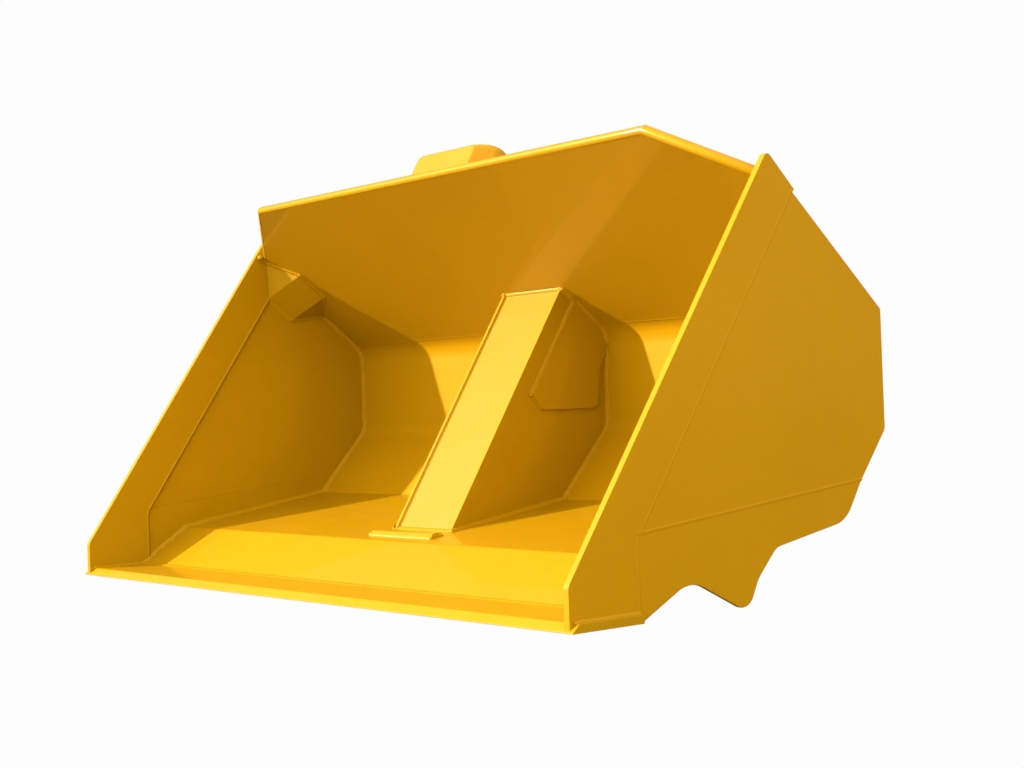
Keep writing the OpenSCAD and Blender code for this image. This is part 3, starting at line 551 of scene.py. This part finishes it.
def make_paint(name, colour, deep, gloss, dust, peel=260.0, depth=0.00012, sheen_blue=0.24):
    """Gloss paint on steel plate: a broad pale sheen under a sharp clear coat."""
    material, tree, shader, where = start_material(name)
    coat = use_group(tree, SPRAYED, where, Colour=colour, Deep_Colour=deep,
                     Gloss_Low=gloss[0], Gloss_High=gloss[1], Peel_Size=peel)
    base = dust_over(tree, shader, where, coat, dust, (0.62, 0.36, 0.04, 1))
    ray = tree.nodes.new("ShaderNodeLightPath")
    put(tree, mix_colours(tree, ray.outputs["Is Diffuse Ray"], base, PLATE_BOUNCE),
        shader.inputs["Base Color"])
    raise_surface(tree, shader, coat["Height"], depth)
    shader.inputs["Specular IOR Level"].default_value = 0.5
    shader.inputs["Specular Tint"].default_value = (1.0, 0.74, sheen_blue, 1)
    shader.inputs["Coat Weight"].default_value = 0.6
    shader.inputs["Coat Roughness"].default_value = 0.07
    shader.inputs["Coat IOR"].default_value = 1.5
    return material


def make_metal(name, colour, deep, gloss, stretch):
    """Turned or drawn metal, with a trace of grime."""
    material, tree, shader, where = start_material(name)
    marks = use_group(tree, MACHINED, where, Stretch=stretch, Colour=colour, Deep_Colour=deep,
                      Gloss_Low=gloss[0], Gloss_High=gloss[1])
    base = dust_over(tree, shader, where, marks, 0.25, (0.20, 0.15, 0.10, 1))
    put(tree, base, shader.inputs["Base Color"])
    shader.inputs["Metallic"].default_value = 1.0
    raise_surface(tree, shader, marks["Height"], 0.00002)
    return material


def make_rubber(name):
    """Matt rubber with dust in its grain."""
    material, tree, shader, where = start_material(name)
    coat = use_group(tree, SPRAYED, where, Colour=(0.030, 0.030, 0.032, 1),
                     Deep_Colour=(0.018, 0.018, 0.020, 1), Gloss_Low=0.62, Gloss_High=0.82,
                     Peel_Size=700.0)
    base = dust_over(tree, shader, where, coat, 0.5, (0.11, 0.10, 0.085, 1))
    put(tree, base, shader.inputs["Base Color"])
    raise_surface(tree, shader, coat["Height"], 0.0003)
    return material


YELLOW = (0.90, 0.41, 0.0006, 1)
YELLOW_DEEP = (0.86, 0.385, 0.0005, 1)
plate_paint = make_paint("plate_paint", YELLOW, YELLOW_DEEP, (0.44, 0.54), 0.06)
# Painted light: the floor and cutting edge take a copy of the plate yellow with less red, tuned for
# the sunlit floor
sunlit_floor_paint = make_paint("sunlit_floor_paint", (0.82, 0.40, 0.0008, 1), (0.78, 0.375, 0.0006, 1),
                         (0.40, 0.52), 0.08)
# Painted light: the box cover and hood take a copy of the plate yellow with less green and a whiter
# sheen, tuned for their sunlit fronts
sunlit_face_paint = make_paint("sunlit_face_paint", (0.90, 0.385, 0.0006, 1), (0.87, 0.37, 0.0005, 1),
                         (0.36, 0.48), 0.03, sheen_blue=0.7)
weld_paint = make_paint("weld_paint", (0.90, 0.40, 0.001, 1), YELLOW_DEEP, (0.38, 0.5), 0.04,
                        peel=420.0, depth=0.0002)
under_paint = make_paint("under_paint", (0.80, 0.34, 0.001, 1), (0.68, 0.28, 0.002, 1),
                         (0.45, 0.6), 0.3)
pin_steel = make_metal("pin_steel", (0.56, 0.57, 0.59, 1), (0.40, 0.41, 0.43, 1),
                       (0.22, 0.38), (900, 8, 8))
rod_chrome = make_metal("rod_chrome", (0.80, 0.81, 0.83, 1), (0.72, 0.73, 0.76, 1),
                        (0.05, 0.12), (9, 60, 25))
bush_bronze = make_metal("bush_bronze", (0.72, 0.47, 0.18, 1), (0.55, 0.33, 0.11, 1),
                         (0.25, 0.42), (900, 8, 8))
pad_rubber = make_rubber("pad_rubber")

MATERIAL_OF = {
    "hinge_pin_left": pin_steel, "hinge_pin_right": pin_steel, "upper_pin": pin_steel,
    "lower_pin": pin_steel, "hinge_keeper_bolts": pin_steel, "lower_keeper_bolt": pin_steel,
    "lock_bushes": pin_steel, "cylinder_gland": pin_steel, "cylinder_piston": pin_steel,
    "piston_nut": pin_steel, "cylinder_rod": rod_chrome, "hinge_bush_left": bush_bronze,
    "hinge_bush_right": bush_bronze, "barrel_bush": bush_bronze, "stop_pads": pad_rubber,
    "rod_wiper": pad_rubber, "piston_rings": pad_rubber, "lip_ribs": under_paint,
    "hinge_ears_left": under_paint, "hinge_ears_right": under_paint,
    "floor_plate": sunlit_floor_paint, "cutting_edge": sunlit_floor_paint, "box_cover": sunlit_face_paint,
}
# Edge radii in millimetres; the other nodes have the plain one
PLAIN_RADIUS = 1.5
EDGE_RADIUS = {
    "side_cutter_left": 2.5, "side_cutter_right": 2.5, "cutting_edge": 2.0, "top_edge": 0.0,
    "corner_gusset_left": 2.5, "corner_gusset_right": 2.5, "cylinder_rod": 1.0,
    "piston_rings": 0.5, "rod_wiper": 0.8, "box_foot_bar": 2.5, "floor_plate": 4.0,
}
# Edges that bend by less than this many degrees stay as they are
EDGE_ANGLE, FLOOR_EDGE_ANGLE = 28, 20


def make_joined_faces():
    """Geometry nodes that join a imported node's faces again, so that its edges can be rounded."""
    group = bpy.data.node_groups.new("joined_faces", "GeometryNodeTree")
    group.interface.new_socket("Geometry", in_out="INPUT", socket_type="NodeSocketGeometry")
    group.interface.new_socket("Geometry", in_out="OUTPUT", socket_type="NodeSocketGeometry")
    given = group.nodes.new("NodeGroupInput")
    made = group.nodes.new("NodeGroupOutput")
    merge = group.nodes.new("GeometryNodeMergeByDistance")
    merge.inputs["Distance"].default_value = 1e-6
    normals = group.nodes.new("GeometryNodeSetMeshNormal")
    normals.mode = "SHARPNESS"
    group.links.new(given.outputs[0], merge.inputs["Geometry"])
    group.links.new(merge.outputs[0], normals.inputs[0])
    group.links.new(normals.outputs[0], made.inputs[0])
    return group


JOINED = make_joined_faces()


def flat_shading(obj):
    """Keeps wide faces flat and lets only the rounded edges turn."""
    shade = obj.modifiers.new("shading", "WEIGHTED_NORMAL")
    shade.keep_sharp = True
    shade.weight = 80


def round_edges(obj, radius):
    """Rounds sharp edges a little, as sawn and painted plate has them."""
    joined = obj.modifiers.new("joined", "NODES")
    joined.node_group = JOINED
    if radius:
        angle = FLOOR_EDGE_ANGLE if obj.name == "floor_plate" else EDGE_ANGLE
        rounding = obj.modifiers.new("rounding", "BEVEL")
        rounding.width = radius / 1000
        rounding.segments = 3
        rounding.limit_method = "ANGLE"
        rounding.angle_limit = math.radians(angle)
        rounding.harden_normals = True
        rounding.use_clamp_overlap = True
    flat_shading(obj)


for name, node in nodes.items():
    node.data.materials.clear()
    node.data.materials.append(MATERIAL_OF.get(name, plate_paint))
    round_edges(node, EDGE_RADIUS.get(name, PLAIN_RADIUS))

# Skid plates
skid_line = [Vector((BLADE_DEPTH, 0)), SKID_CORNERS[0]]
for k, radius in enumerate(SKID_RADII):
    skid_line += bend(*SKID_CORNERS[k:k + 3], radius)
skid_line += [LOWER_SEAM[1], at_depth(LOWER_SEAM[0], SEAM_WAY, BLADE_DEPTH)]
for s, side in ((-1, "left"), (1, "right")):
    bm = bmesh.new()
    skin(bm, [[bm.verts.new(at(s * x, *p)) for p in skid_line] for x in (SIDE_IN, CUTTER_OUT)])
    skid = piece("skid_" + side, bm, "bucket", plate_paint)
    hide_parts("skid_plate_" + side)
    round_edges(skid, PLAIN_RADIUS)

# Weld beads of the bucket. Inside: side cutters and side plates to the shell
inner = shell_line()
outer = shell_line(SHELL)
lip_joint = at_depth(LIP_FOOT, LIP, SIDE_FOOT)
plate_end = TOP - UP * PLATE_SIDE_START
bm = bmesh.new()
for s in (-1, 1):
    lip_run = part_of(inner, LIP_FOOT, lip_joint)
    lay_bead(bm, shell_rows(lip_run, s * CUTTER_IN, -s))
    side_run = part_of(inner, lip_joint, TOP - UP * GUSSET_ENDS[1])
    lay_bead(bm, shell_rows(side_run, s * SIDE_IN, -s), 14, 3)
    top_run = part_of(inner, TOP - UP * GUSSET_ENDS[0], plate_end)
    lay_bead(bm, shell_rows(top_run, s * CUTTER_IN, -s))
    lump(bm, at(s * (CUTTER_IN - 5), *(plate_end - OUT * 4)), 13, 0.8)
piece("inside_corner_welds", bm, "bucket", weld_paint)

# The cylinder box's webs to the shell
bm = bmesh.new()
for s in (-1, 1):
    lay_bead(bm, shell_rows(part_of(inner, BOX_FOOT, BOX_TOP), s * WEB_OUT, s), 13, 3)
    lump(bm, at(s * (WEB_OUT - 4), *(BOX_TOP + BOX_BACK * 4)), 11, 0.7)
    lump(bm, at(s * (WEB_OUT + 2), *(BOX_FOOT + FLOOR * 6)), 9, 0.5)
piece("box_seam_welds", bm, "bucket", weld_paint)

# The cover between the webs: a bead down each side, one at its top and one at its foot
bm = bmesh.new()
cover_foot = meet(BOX_FOOT + BOX_BACK * COVER_SET_BACK, BOX, LIP_BEND, FLOOR)
cover_top = meet(BOX_FOOT + BOX_BACK * COVER_SET_BACK, BOX, TOP, UP)
for s in (-1, 1):
    bead_between(bm, at(s * WEB_IN, *cover_foot), at(s * WEB_IN, *cover_top),
                 across(-BOX_BACK), X * -s, 5.5, 0.8)
for p, up_cover, shell_way in ((cover_top, -BOX, UP), (cover_foot, BOX, -FLOOR)):
    bead_between(bm, at(-WEB_IN, *p), at(WEB_IN, *p), across(up_cover), across(shell_way))
piece("cover_welds", bm, "bucket", weld_paint)

# Doublers: beads down the front edge, round the lower corner and along the shell
bm = bmesh.new()
front = BOX_FOOT + BOX_BACK * DOUBLER_SET_BACK
doubler_corner = at_height(front, BOX, DOUBLER_LOW)
doubler_top = meet(front, BOX, TOP, UP)
toe = Vector((doubler_corner.x + DOUBLER_TOE[0], DOUBLER_TOE[1]))
doubler_line = [doubler_top] + bend(doubler_top, doubler_corner, toe, 20) + [toe]
for s in (-1, 1):
    lay_bead(bm, shell_rows(doubler_line[::-1], s * WEB_OUT, s), 8, 1.6)
    shell_part = part_of(inner, Vector((INNER_DEPTH, DOUBLER_SHELL_Z)), doubler_top)
    lay_bead(bm, shell_rows(shell_part, s * DOUBLER_OUT, s), 10, 2.4)
    lump(bm, at(s * (WEB_OUT + 4), *doubler_corner), 9, 0.6)
piece("doubler_welds", bm, "bucket", weld_paint)

# The bar across the floor at the foot of the box
bm = bmesh.new()
bar = at_depth(LIP_BEND, FLOOR, FOOT_BAR_Y)
bar_rear = bar + FLOOR * FOOT_BAR_WIDTH
bar_up = across(FLOOR_UP)
for p, away in ((bar, -FLOOR), (bar_rear, FLOOR)):
    bead_between(bm, at(-DOUBLER_OUT, *p), at(DOUBLER_OUT, *p), across(away), bar_up, 12, 1.5)
for s in (-1, 1):
    bead_between(bm, at(s * DOUBLER_OUT, *bar), at(s * DOUBLER_OUT, *bar_rear), X * s, bar_up,
                 11, 1.5)
    for p in (bar, bar_rear):
        lump(bm, at(s * DOUBLER_OUT, *p) + bar_up * 0.002, 10, 0.75)
piece("foot_bar_welds", bm, "bucket", weld_paint)

# Side cutters to side plates: a step inside, flush outside; side plates to skid plates
bm = bmesh.new()
seam_low = Vector((BLADE_DEPTH, BLADE_T + 2))
seam = [SEAM_TOP] + bend(SEAM_TOP, SEAM_FOOT, seam_low, SEAM_R) + [seam_low]
seam_inside = seam[:-1] + [Vector((BLADE_DEPTH, BLADE_T + 18))]
lower = [at_depth(LOWER_SEAM[0], SEAM_WAY, BLADE_DEPTH + 1), LOWER_SEAM[1]]
for s in (-1, 1):
    lay_bead(bm, shell_rows(seam_inside, s * SIDE_IN, -s), 9, 1.2)
    flush_bead(bm, [at(s * CUTTER_IN, p.x - 3, p.y) for p in seam_inside], X * -s, 5, 2.6)
    flush_bead(bm, [at(s * CUTTER_OUT, *p) for p in seam], X * s, 4.5, 0.9)
    flush_bead(bm, [at(s * CUTTER_OUT, *p) for p in lower], X * s, 5, 1)
piece("side_seam_welds", bm, "bucket", weld_paint)


def gusset_point(s, inset, down, drop):
    """A point measured in from the side, down the upper plate and away from it."""
    return at(s * (SIDE_IN - inset), *(TOP - UP * down - OUT * drop))


# Corner gussets: beads on the upper plate and on the side plate
bm = bmesh.new()
for s in (-1, 1):
    high_end, low_end = [gusset_point(s, 0, down, 0) for down in GUSSET_ENDS]
    plate_a, plate_b = [gusset_point(s, GUSSET_SIDE, down, 0) for down in GUSSET_FLAT]
    side_a, side_b = [gusset_point(s, 0, down, GUSSET_DROP) for down in GUSSET_FLAT]
    for start, end, face, mate in ((high_end, plate_a, side_a, low_end),
                                   (plate_a, plate_b, side_a, high_end),
                                   (plate_b, low_end, side_b, high_end),
                                   (high_end, side_a, plate_a, low_end),
                                   (side_a, side_b, plate_a, high_end),
                                   (side_b, low_end, plate_b, high_end)):
        bead_between(bm, start, end, -off_edge(start, end, mate), off_edge(start, end, face),
                     9, 1.8)
    for p in (plate_a, plate_b, side_a, side_b):
        lump(bm, p, 8, 0.7)
piece("gusset_welds", bm, "bucket", weld_paint)

# Cutting edge to lip and cutters, and the seams across the shell inside
bm = bmesh.new()
upper_seam = bend(HEEL_TOP, ROLL_TOP, TOP, ROLL_R)[-1]
floor_seam_up = (-0.4, 0.9)
bead_between(bm, at(-CUTTER_IN, *LIP_FOOT), at(CUTTER_IN, *LIP_FOOT), -Y, across(LIP), 9, 1.5)
for s in (-1, 1):
    for x, out, rear in ((CUTTER_IN, -1, LIP_FOOT.x - 1), (CUTTER_OUT, 1, BLADE_DEPTH)):
        bead_between(bm, at(s * x, BLADE_BEVEL + 1, BLADE_T), at(s * x, rear, BLADE_T),
                     X * s * out, Z, 8)
        lump(bm, at(s * (x + out * 2), BLADE_BEVEL, BLADE_T), 8, 0.8)
    for seam_point, up_face, height in ((upper_seam, -OUT, 0.8),
                                        (FLOOR_REAR, floor_seam_up, 0.7)):
        run = [at(s * x, *seam_point) for x in (DOUBLER_OUT, SIDE_IN)]
        flush_bead(bm, run if s > 0 else run[::-1], across(up_face), 5.5, height)
piece("plate_seam_welds", bm, "bucket", weld_paint)

# Outside of the shell: its seam, the rear of the folded edge, the sides
bm = bmesh.new()
edge_foot = meet(EDGE_REAR, OUT, OUTER_TOP, UP)
outer_seam = upper_seam + OUT * SHELL
flush_bead(bm, [at(-SIDE_IN, *outer_seam), at(SIDE_IN, *outer_seam)], across(OUT), 6, 1.1)
bead_between(bm, at(-EDGE_HALF, *edge_foot), at(EDGE_HALF, *edge_foot), across(-UP), across(OUT), 8)
lip_end = Vector((SIDE_FOOT, 36))
for s in (-1, 1):
    for x, stretch in ((CUTTER_IN, part_of(outer, outer[0], lip_end)),
                       (SIDE_IN, part_of(outer, lip_end, FLOOR_REAR))):
        lay_bead(bm, shell_rows(stretch, s * x, -s, -1))
piece("outside_shell_welds", bm, "bucket", weld_paint)

# The hood's bead: two short runs from each corner of its base
bm = bmesh.new()
hood_foot = meet(HOOD_START, HOOD_FRONT, OUTER_TOP, UP)
hood_roof = at_height(HOOD_START, HOOD_FRONT, TOP.y + HOOD_RISE)
hood_roof_rear = hood_roof + Vector((HOOD_ROOF, 0))
hood_low = hood_roof_rear - UP * HOOD_BACK
hood_rear_foot = meet(hood_low, HOOD_REAR, OUTER_TOP, UP)
hood_side_start = HOOD_START + HOOD_INWARD * (HOOD_WIDE - HOOD_NARROW)
hood_corners = [(HOOD_NARROW, hood_foot),
                (HOOD_WIDE, meet(hood_side_start, HOOD_FRONT, OUTER_TOP, UP)),
                (HOOD_WIDE, hood_rear_foot)]
corners = [at(x, *p) for x, p in hood_corners] + [at(-x, *p) for x, p in hood_corners[::-1]]
middle = sum(corners, Vector()) / len(corners)
base = []
for i, corner in enumerate(corners):
    for other in (corners[i - 1], corners[(i + 1) % len(corners)]):
        base.append(corner + (other - corner).normalized() * HOOD_BEAD_RUN / 1000)
for start, end in zip(base, base[1:] + base[:1]):
    bead_between(bm, start, end, -off_edge(start, end, middle), across(OUT))
piece("hood_welds", bm, "bucket", weld_paint)


def in_plane(edge, point, way):
    """Whether both ends of an edge lie in a plane."""
    return all(abs((v.co - point).dot(way)) < 0.0005 for v in edge.verts)


def on_plate(edge):
    """Whether an edge lies on the upper plate's outer face."""
    return in_plane(edge, at(0, *OUTER_TOP), across(OUT))


# The hood itself: a folded block with flared sides, wide radii and crisp front edges
bm = bmesh.new()
hood_side = [hood_foot, hood_roof, hood_roof_rear, hood_low, hood_rear_foot]
skin(bm, [[bm.verts.new(at(x, *p)) for p in hood_side] for x in (-HOOD_WIDE, HOOD_WIDE)])
for s in (-1, 1):
    cut = bmesh.ops.bisect_plane(bm, geom=bm.verts[:] + bm.edges[:] + bm.faces[:],
                                 plane_co=at(s * HOOD_NARROW, *hood_foot),
                                 plane_no=(X * s - across(HOOD_INWARD)), clear_outer=True)
    rim = [e for e in cut["geom_cut"] if isinstance(e, bmesh.types.BMEdge)]
    bmesh.ops.holes_fill(bm, edges=rim)
bmesh.ops.recalc_face_normals(bm, faces=bm.faces)
for radius, steps, at_front in ((0.020, 6, False), (0.005, 3, True)):
    folds = [e for e in bm.edges if not on_plate(e)
             and in_plane(e, at(0, *hood_foot), across(-HOOD_INWARD)) == at_front]
    bmesh.ops.bevel(bm, geom=folds, offset=radius, segments=steps, profile=0.5, affect="EDGES",
                    clamp_overlap=True)
for e in bm.edges:
    e.smooth = not on_plate(e)
hood = piece("hood_folds", bm, "bucket", sunlit_face_paint)
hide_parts("top_hood")
flat_shading(hood)

# Keeper bolts, in metres; washer and head by height above the seat and share of the radius
BOLT_HEAD_R, BOLT_SHANK_R = 0.0128, 0.0079
BOLT_STAND, SHANK_DEPTH = 0.010, 0.0299
WASHER = ((0.0, 1.0), (0.002, 1.0), (0.0025, 0.96))
BOLT_HEAD = ((0.0025, 0.97), (0.0082, 0.97), (0.0096, 0.82))


def hex_bolt(bm, seat, way):
    """A bolt with a washer: seat is the face it is tightened on, way points out of it."""
    def disc(height, radius, corners=24):
        return [bm.verts.new(seat + way * height
                             + Matrix.Rotation(2 * math.pi * i / corners, 3, way) @ Y * radius)
                for i in range(corners)]
    skin(bm, [disc(height, BOLT_HEAD_R * share) for height, share in WASHER])
    skin(bm, [disc(height, BOLT_HEAD_R * share, 6) for height, share in BOLT_HEAD])
    skin(bm, [disc(-SHANK_DEPTH, BOLT_SHANK_R), disc(0.0, BOLT_SHANK_R)])


for node, body, sides in (("hinge_keeper_bolts", "bucket", (-1, 1)),
                          ("lower_keeper_bolt", "carrier", (1,))):
    bm = bmesh.new()
    low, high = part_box(node)
    for s in sides:
        seat = (low + high) / 2
        seat.x = s * (high.x - BOLT_STAND)
        hex_bolt(bm, seat, X * s)
    bolts = piece(node + "_hex", bm, body, pin_steel, smooth=False)
    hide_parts(node)

# Grease nipples in front of the arms' hinge bosses: reach in metres, radius in millimetres
NIPPLE_X = 0.3
NIPPLE = ((-0.004, 4.5), (0.003, 4.5), (0.004, 3.2), (0.007, 3.0), (0.0085, 1.7),
          (0.0105, 1.9), (0.012, 1.6), (0.0125, 0.7))
NIPPLE_CORNERS = 16
bm = bmesh.new()
boss_low, boss_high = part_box("hinge_bush_right")
for s in (-1, 1):
    seat = Vector((s * NIPPLE_X, at(0, ARM_FRONT_Y, 0).y, (boss_low.z + boss_high.z) / 2))
    turns = [2 * math.pi * i / NIPPLE_CORNERS for i in range(NIPPLE_CORNERS)]
    skin(bm, [[bm.verts.new(seat - Y * reach + (X * math.cos(a) + Z * math.sin(a)) * radius / 1000)
               for a in turns] for reach, radius in NIPPLE])
piece("grease_nipples", bm, "carrier", pin_steel)

# Under the floor: hinge ears and lip ribs, a bead down both sides of each plate
EAR_FACES = ((346, 1), (326, -1), (274, 1), (254, -1))
EAR_ENDS = (568, 798)
RIB_X, RIB_T, RIB_END = (460, 780, 1100), 12, 556
bm = bmesh.new()
for s in (-1, 1):
    for x, out in EAR_FACES:
        stretch = part_of(outer, *[Vector((y, 0)) for y in EAR_ENDS])
        lay_bead(bm, shell_rows(stretch, s * x, s * out, -1), 9, 2.6)
    for x in RIB_X:
        for out in (-1, 1):
            stretch = part_of(outer, Vector((SIDE_FOOT, 30)), Vector((RIB_END, 0)))
            lay_bead(bm, shell_rows(stretch, s * x + out * RIB_T / 2, out, -1), 7)
piece("underside_welds", bm, "bucket", weld_paint)

# Stop plates on the bucket's rear face
STOP_PLATE_X = (0.25, 0.35)
bm = bmesh.new()
low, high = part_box("rear_stop_plates")
y = at(0, INNER_DEPTH + SHELL, 0).y
for s in (-1, 1):
    x0, x1 = sorted(s * x for x in STOP_PLATE_X)
    for start, end, out in (((x0, y, low.z), (x1, y, low.z), -Z),
                            ((x0, y, high.z), (x1, y, high.z), Z),
                            ((x0, y, low.z), (x0, y, high.z), -X),
                            ((x1, y, low.z), (x1, y, high.z), X)):
        bead_between(bm, Vector(start), Vector(end), out, Y, 6)
piece("stop_plate_welds", bm, "bucket", weld_paint)

# The carrier: cross tube with the cylinder's ears, beams between arms and coupler plates
EAR_SIDES = ((0.066, 1), (0.046, -1))
bm = bmesh.new()
tube_low, tube_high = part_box("front_cross_tube")
tube_middle = (tube_low + tube_high) / 2
tube_radius = (tube_high.y - tube_low.y) * 500
for s in (-1, 1):
    end = Vector((s * tube_high.x, tube_middle.y, tube_middle.z))
    lay_bead(bm, ring_rows(end, tube_radius, X * -s), 10, 2.6, closed=True)
    for ear_x, out in EAR_SIDES:
        spot = Vector((s * ear_x, tube_middle.y, tube_middle.z))
        lay_bead(bm, ring_rows(spot, tube_radius, X * s * out, 95, 170), 8)
    for beam in ("lower_cross_beam", "upper_cross_beam"):
        low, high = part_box(beam)
        x = s * high.x
        deep, tall = high.y - low.y, high.z - low.z
        for z, run, out in ((low.z, Z * tall, -Y), (low.z, Y * deep, -Z), (high.z, Y * deep, Z)):
            start = Vector((x, low.y, z))
            bead_between(bm, start, start + run, out, X * -s, 9, 2.6)
        seam = [Vector((x, high.y, low.z)), Vector((x, high.y, high.z))]
        flush_bead(bm, seam if s < 0 else seam[::-1], Y, 6)
        plate_low, plate_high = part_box("coupler_plate_right")
        z0, z1 = max(low.z, plate_low.z), min(high.z, plate_high.z)
        for plate_x, out in ((plate_low.x, -1), (plate_high.x, 1)):
            bead_between(bm, Vector((s * plate_x, high.y, z0)), Vector((s * plate_x, high.y, z1)),
                         X * s * out, Y, 10, 2.6)
piece("carrier_welds", bm, "carrier", weld_paint)

# The barrel's base and the ends of its port blocks, where they sit on its sides
BASE_END = 0.1
PORT_BLOCKS = ((0.140, -1), (0.525, 1))
PORT_LENGTH, PORT_HALF_ANGLE = 0.046, 17
bm = bmesh.new()
cylinder_foot = at(0, *LOW_PIVOT)
cylinder_axis = across((UPPER_PIN - LOW_PIVOT).normalized())
base_ring = cylinder_foot + cylinder_axis * BASE_END
lay_bead(bm, ring_rows(base_ring, BARREL_R, -cylinder_axis), 6, 2, closed=True)
for from_foot, s in PORT_BLOCKS:
    block = cylinder_foot + cylinder_axis * from_foot
    start = 180 - 90 * s - PORT_HALF_ANGLE
    for end, out in ((0.0, -1), (PORT_LENGTH, 1)):
        rows = ring_rows(block + cylinder_axis * end, BARREL_R, cylinder_axis * out, start * out,
                         2 * PORT_HALF_ANGLE * out, 12)
        lay_bead(bm, rows, 5, 1.4)
piece("barrel_welds", bm, "barrel", weld_paint)

# Camera at the photograph's place and angle
PHOTO_WIDTH = 1024
FOCAL_PIXELS = 1700.0
SENSOR = 36.0
camera_data = bpy.data.cameras.new("camera")
camera_data.sensor_width = SENSOR
camera_data.lens = SENSOR * FOCAL_PIXELS / PHOTO_WIDTH
camera_data.clip_end = 200
camera = bpy.data.objects.new("camera", camera_data)
right = Vector((0.63601338, 0.77083803, -0.03599582))
down = Vector((-0.03180675, -0.02042008, -0.99928542))
ahead = Vector((-0.77102225, 0.63670381, 0.01153041))
turned = Matrix((right, -down, -ahead)).transposed().to_4x4()
spot = at(4649.73, -2854.69, 592.36)
camera.matrix_world = Matrix.Translation(spot) @ turned
bpy.context.scene.collection.objects.link(camera)
bpy.context.scene.camera = camera

# Sun from behind the camera's left, over the left side cutter
sun_data = bpy.data.lights.new("sun", "SUN")
sun_data.energy = 4.2
sun_data.angle = math.radians(1.2)
sun_data.color = (1.0, 0.94, 1.15)
sun = bpy.data.objects.new("sun", sun_data)
sun_falls = Vector((0.811, 1.0, -0.6))
sun.rotation_mode = "QUATERNION"
sun.rotation_quaternion = sun_falls.to_track_quat("-Z", "Y")
bpy.context.scene.collection.objects.link(sun)

# Studio walls: one look lights the paint, one is mirrored in it and one is seen
PALE = (0.985, 0.985, 0.985, 1)
world = bpy.data.worlds.new("studio")
bpy.context.scene.world = world
world.use_nodes = True
walls = world.node_tree


def sky_part(colour_low, colour_high, from_height, to_height, towards_mouth):
    """A background that fades from the horizon to overhead, stronger before the mouth."""
    background = walls.nodes.new("ShaderNodeBackground")
    split = walls.nodes.new("ShaderNodeSeparateXYZ")
    put(walls, walls.nodes.new("ShaderNodeTexCoord").outputs["Generated"], split.inputs[0])
    rise = remap(walls, split.outputs["Z"], from_height, to_height, 0.0, 1.0)
    put(walls, mix_colours(walls, rise, colour_low, colour_high), background.inputs["Color"])
    front = remap(walls, split.outputs["Y"], -1.0, 0.7, towards_mouth, 1.0)
    put(walls, front, background.inputs["Strength"])
    return background


def show_by_ray(tree, plain, mirrored, seen, surface):
    """Joins three looks: for light that is thrown about, for mirrors and for the camera."""
    ray = tree.nodes.new("ShaderNodeLightPath")
    behind = plain.outputs[0]
    for flag, shown in (("Is Glossy Ray", mirrored), ("Is Camera Ray", seen)):
        either = tree.nodes.new("ShaderNodeMixShader")
        put(tree, ray.outputs[flag], either.inputs["Fac"])
        put(tree, behind, either.inputs[1])
        put(tree, shown.outputs[0], either.inputs[2])
        behind = either.outputs[0]
    put(tree, behind, surface)


lighting = sky_part((1.16, 1.16, 0.53, 1), (0.68, 0.68, 0.40, 1), 0.0, 0.7, 1.8)
mirrored = sky_part((0.20, 0.14, 0.06, 1), (0.40, 0.34, 0.22, 1), 0.15, 0.75, 1.3)
seen = walls.nodes.new("ShaderNodeBackground")
seen.inputs["Color"].default_value = PALE
show_by_ray(walls, lighting, mirrored, seen, walls.nodes["World Output"].inputs["Surface"])

# Studio floor, a little under the part
STUDIO_HALF, STUDIO_Z = 40, -0.0015
floor_mesh = bpy.data.meshes.new("studio_floor")
bm = bmesh.new()
bmesh.ops.create_grid(bm, x_segments=1, y_segments=1, size=STUDIO_HALF)
bm.to_mesh(floor_mesh)
bm.free()
floor = bpy.data.objects.new("studio_floor", floor_mesh)
floor.location.z = STUDIO_Z
bpy.context.scene.collection.objects.link(floor)
floor_material, tree, shader, where = start_material("pale_floor")
shader.inputs["Base Color"].default_value = (0.10, 0.10, 0.10, 1)
shader.inputs["Roughness"].default_value = 0.9
pale = tree.nodes.new("ShaderNodeEmission")
pale.inputs["Color"].default_value = PALE
dim = tree.nodes.new("ShaderNodeEmission")
dim.inputs["Color"].default_value = (0.10, 0.07, 0.02, 1)
show_by_ray(tree, shader, dim, pale, tree.nodes["Material Output"].inputs["Surface"])
floor_mesh.materials.append(floor_material)
floor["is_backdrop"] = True

bpy.context.scene.view_settings.view_transform = "Standard"

low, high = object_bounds()
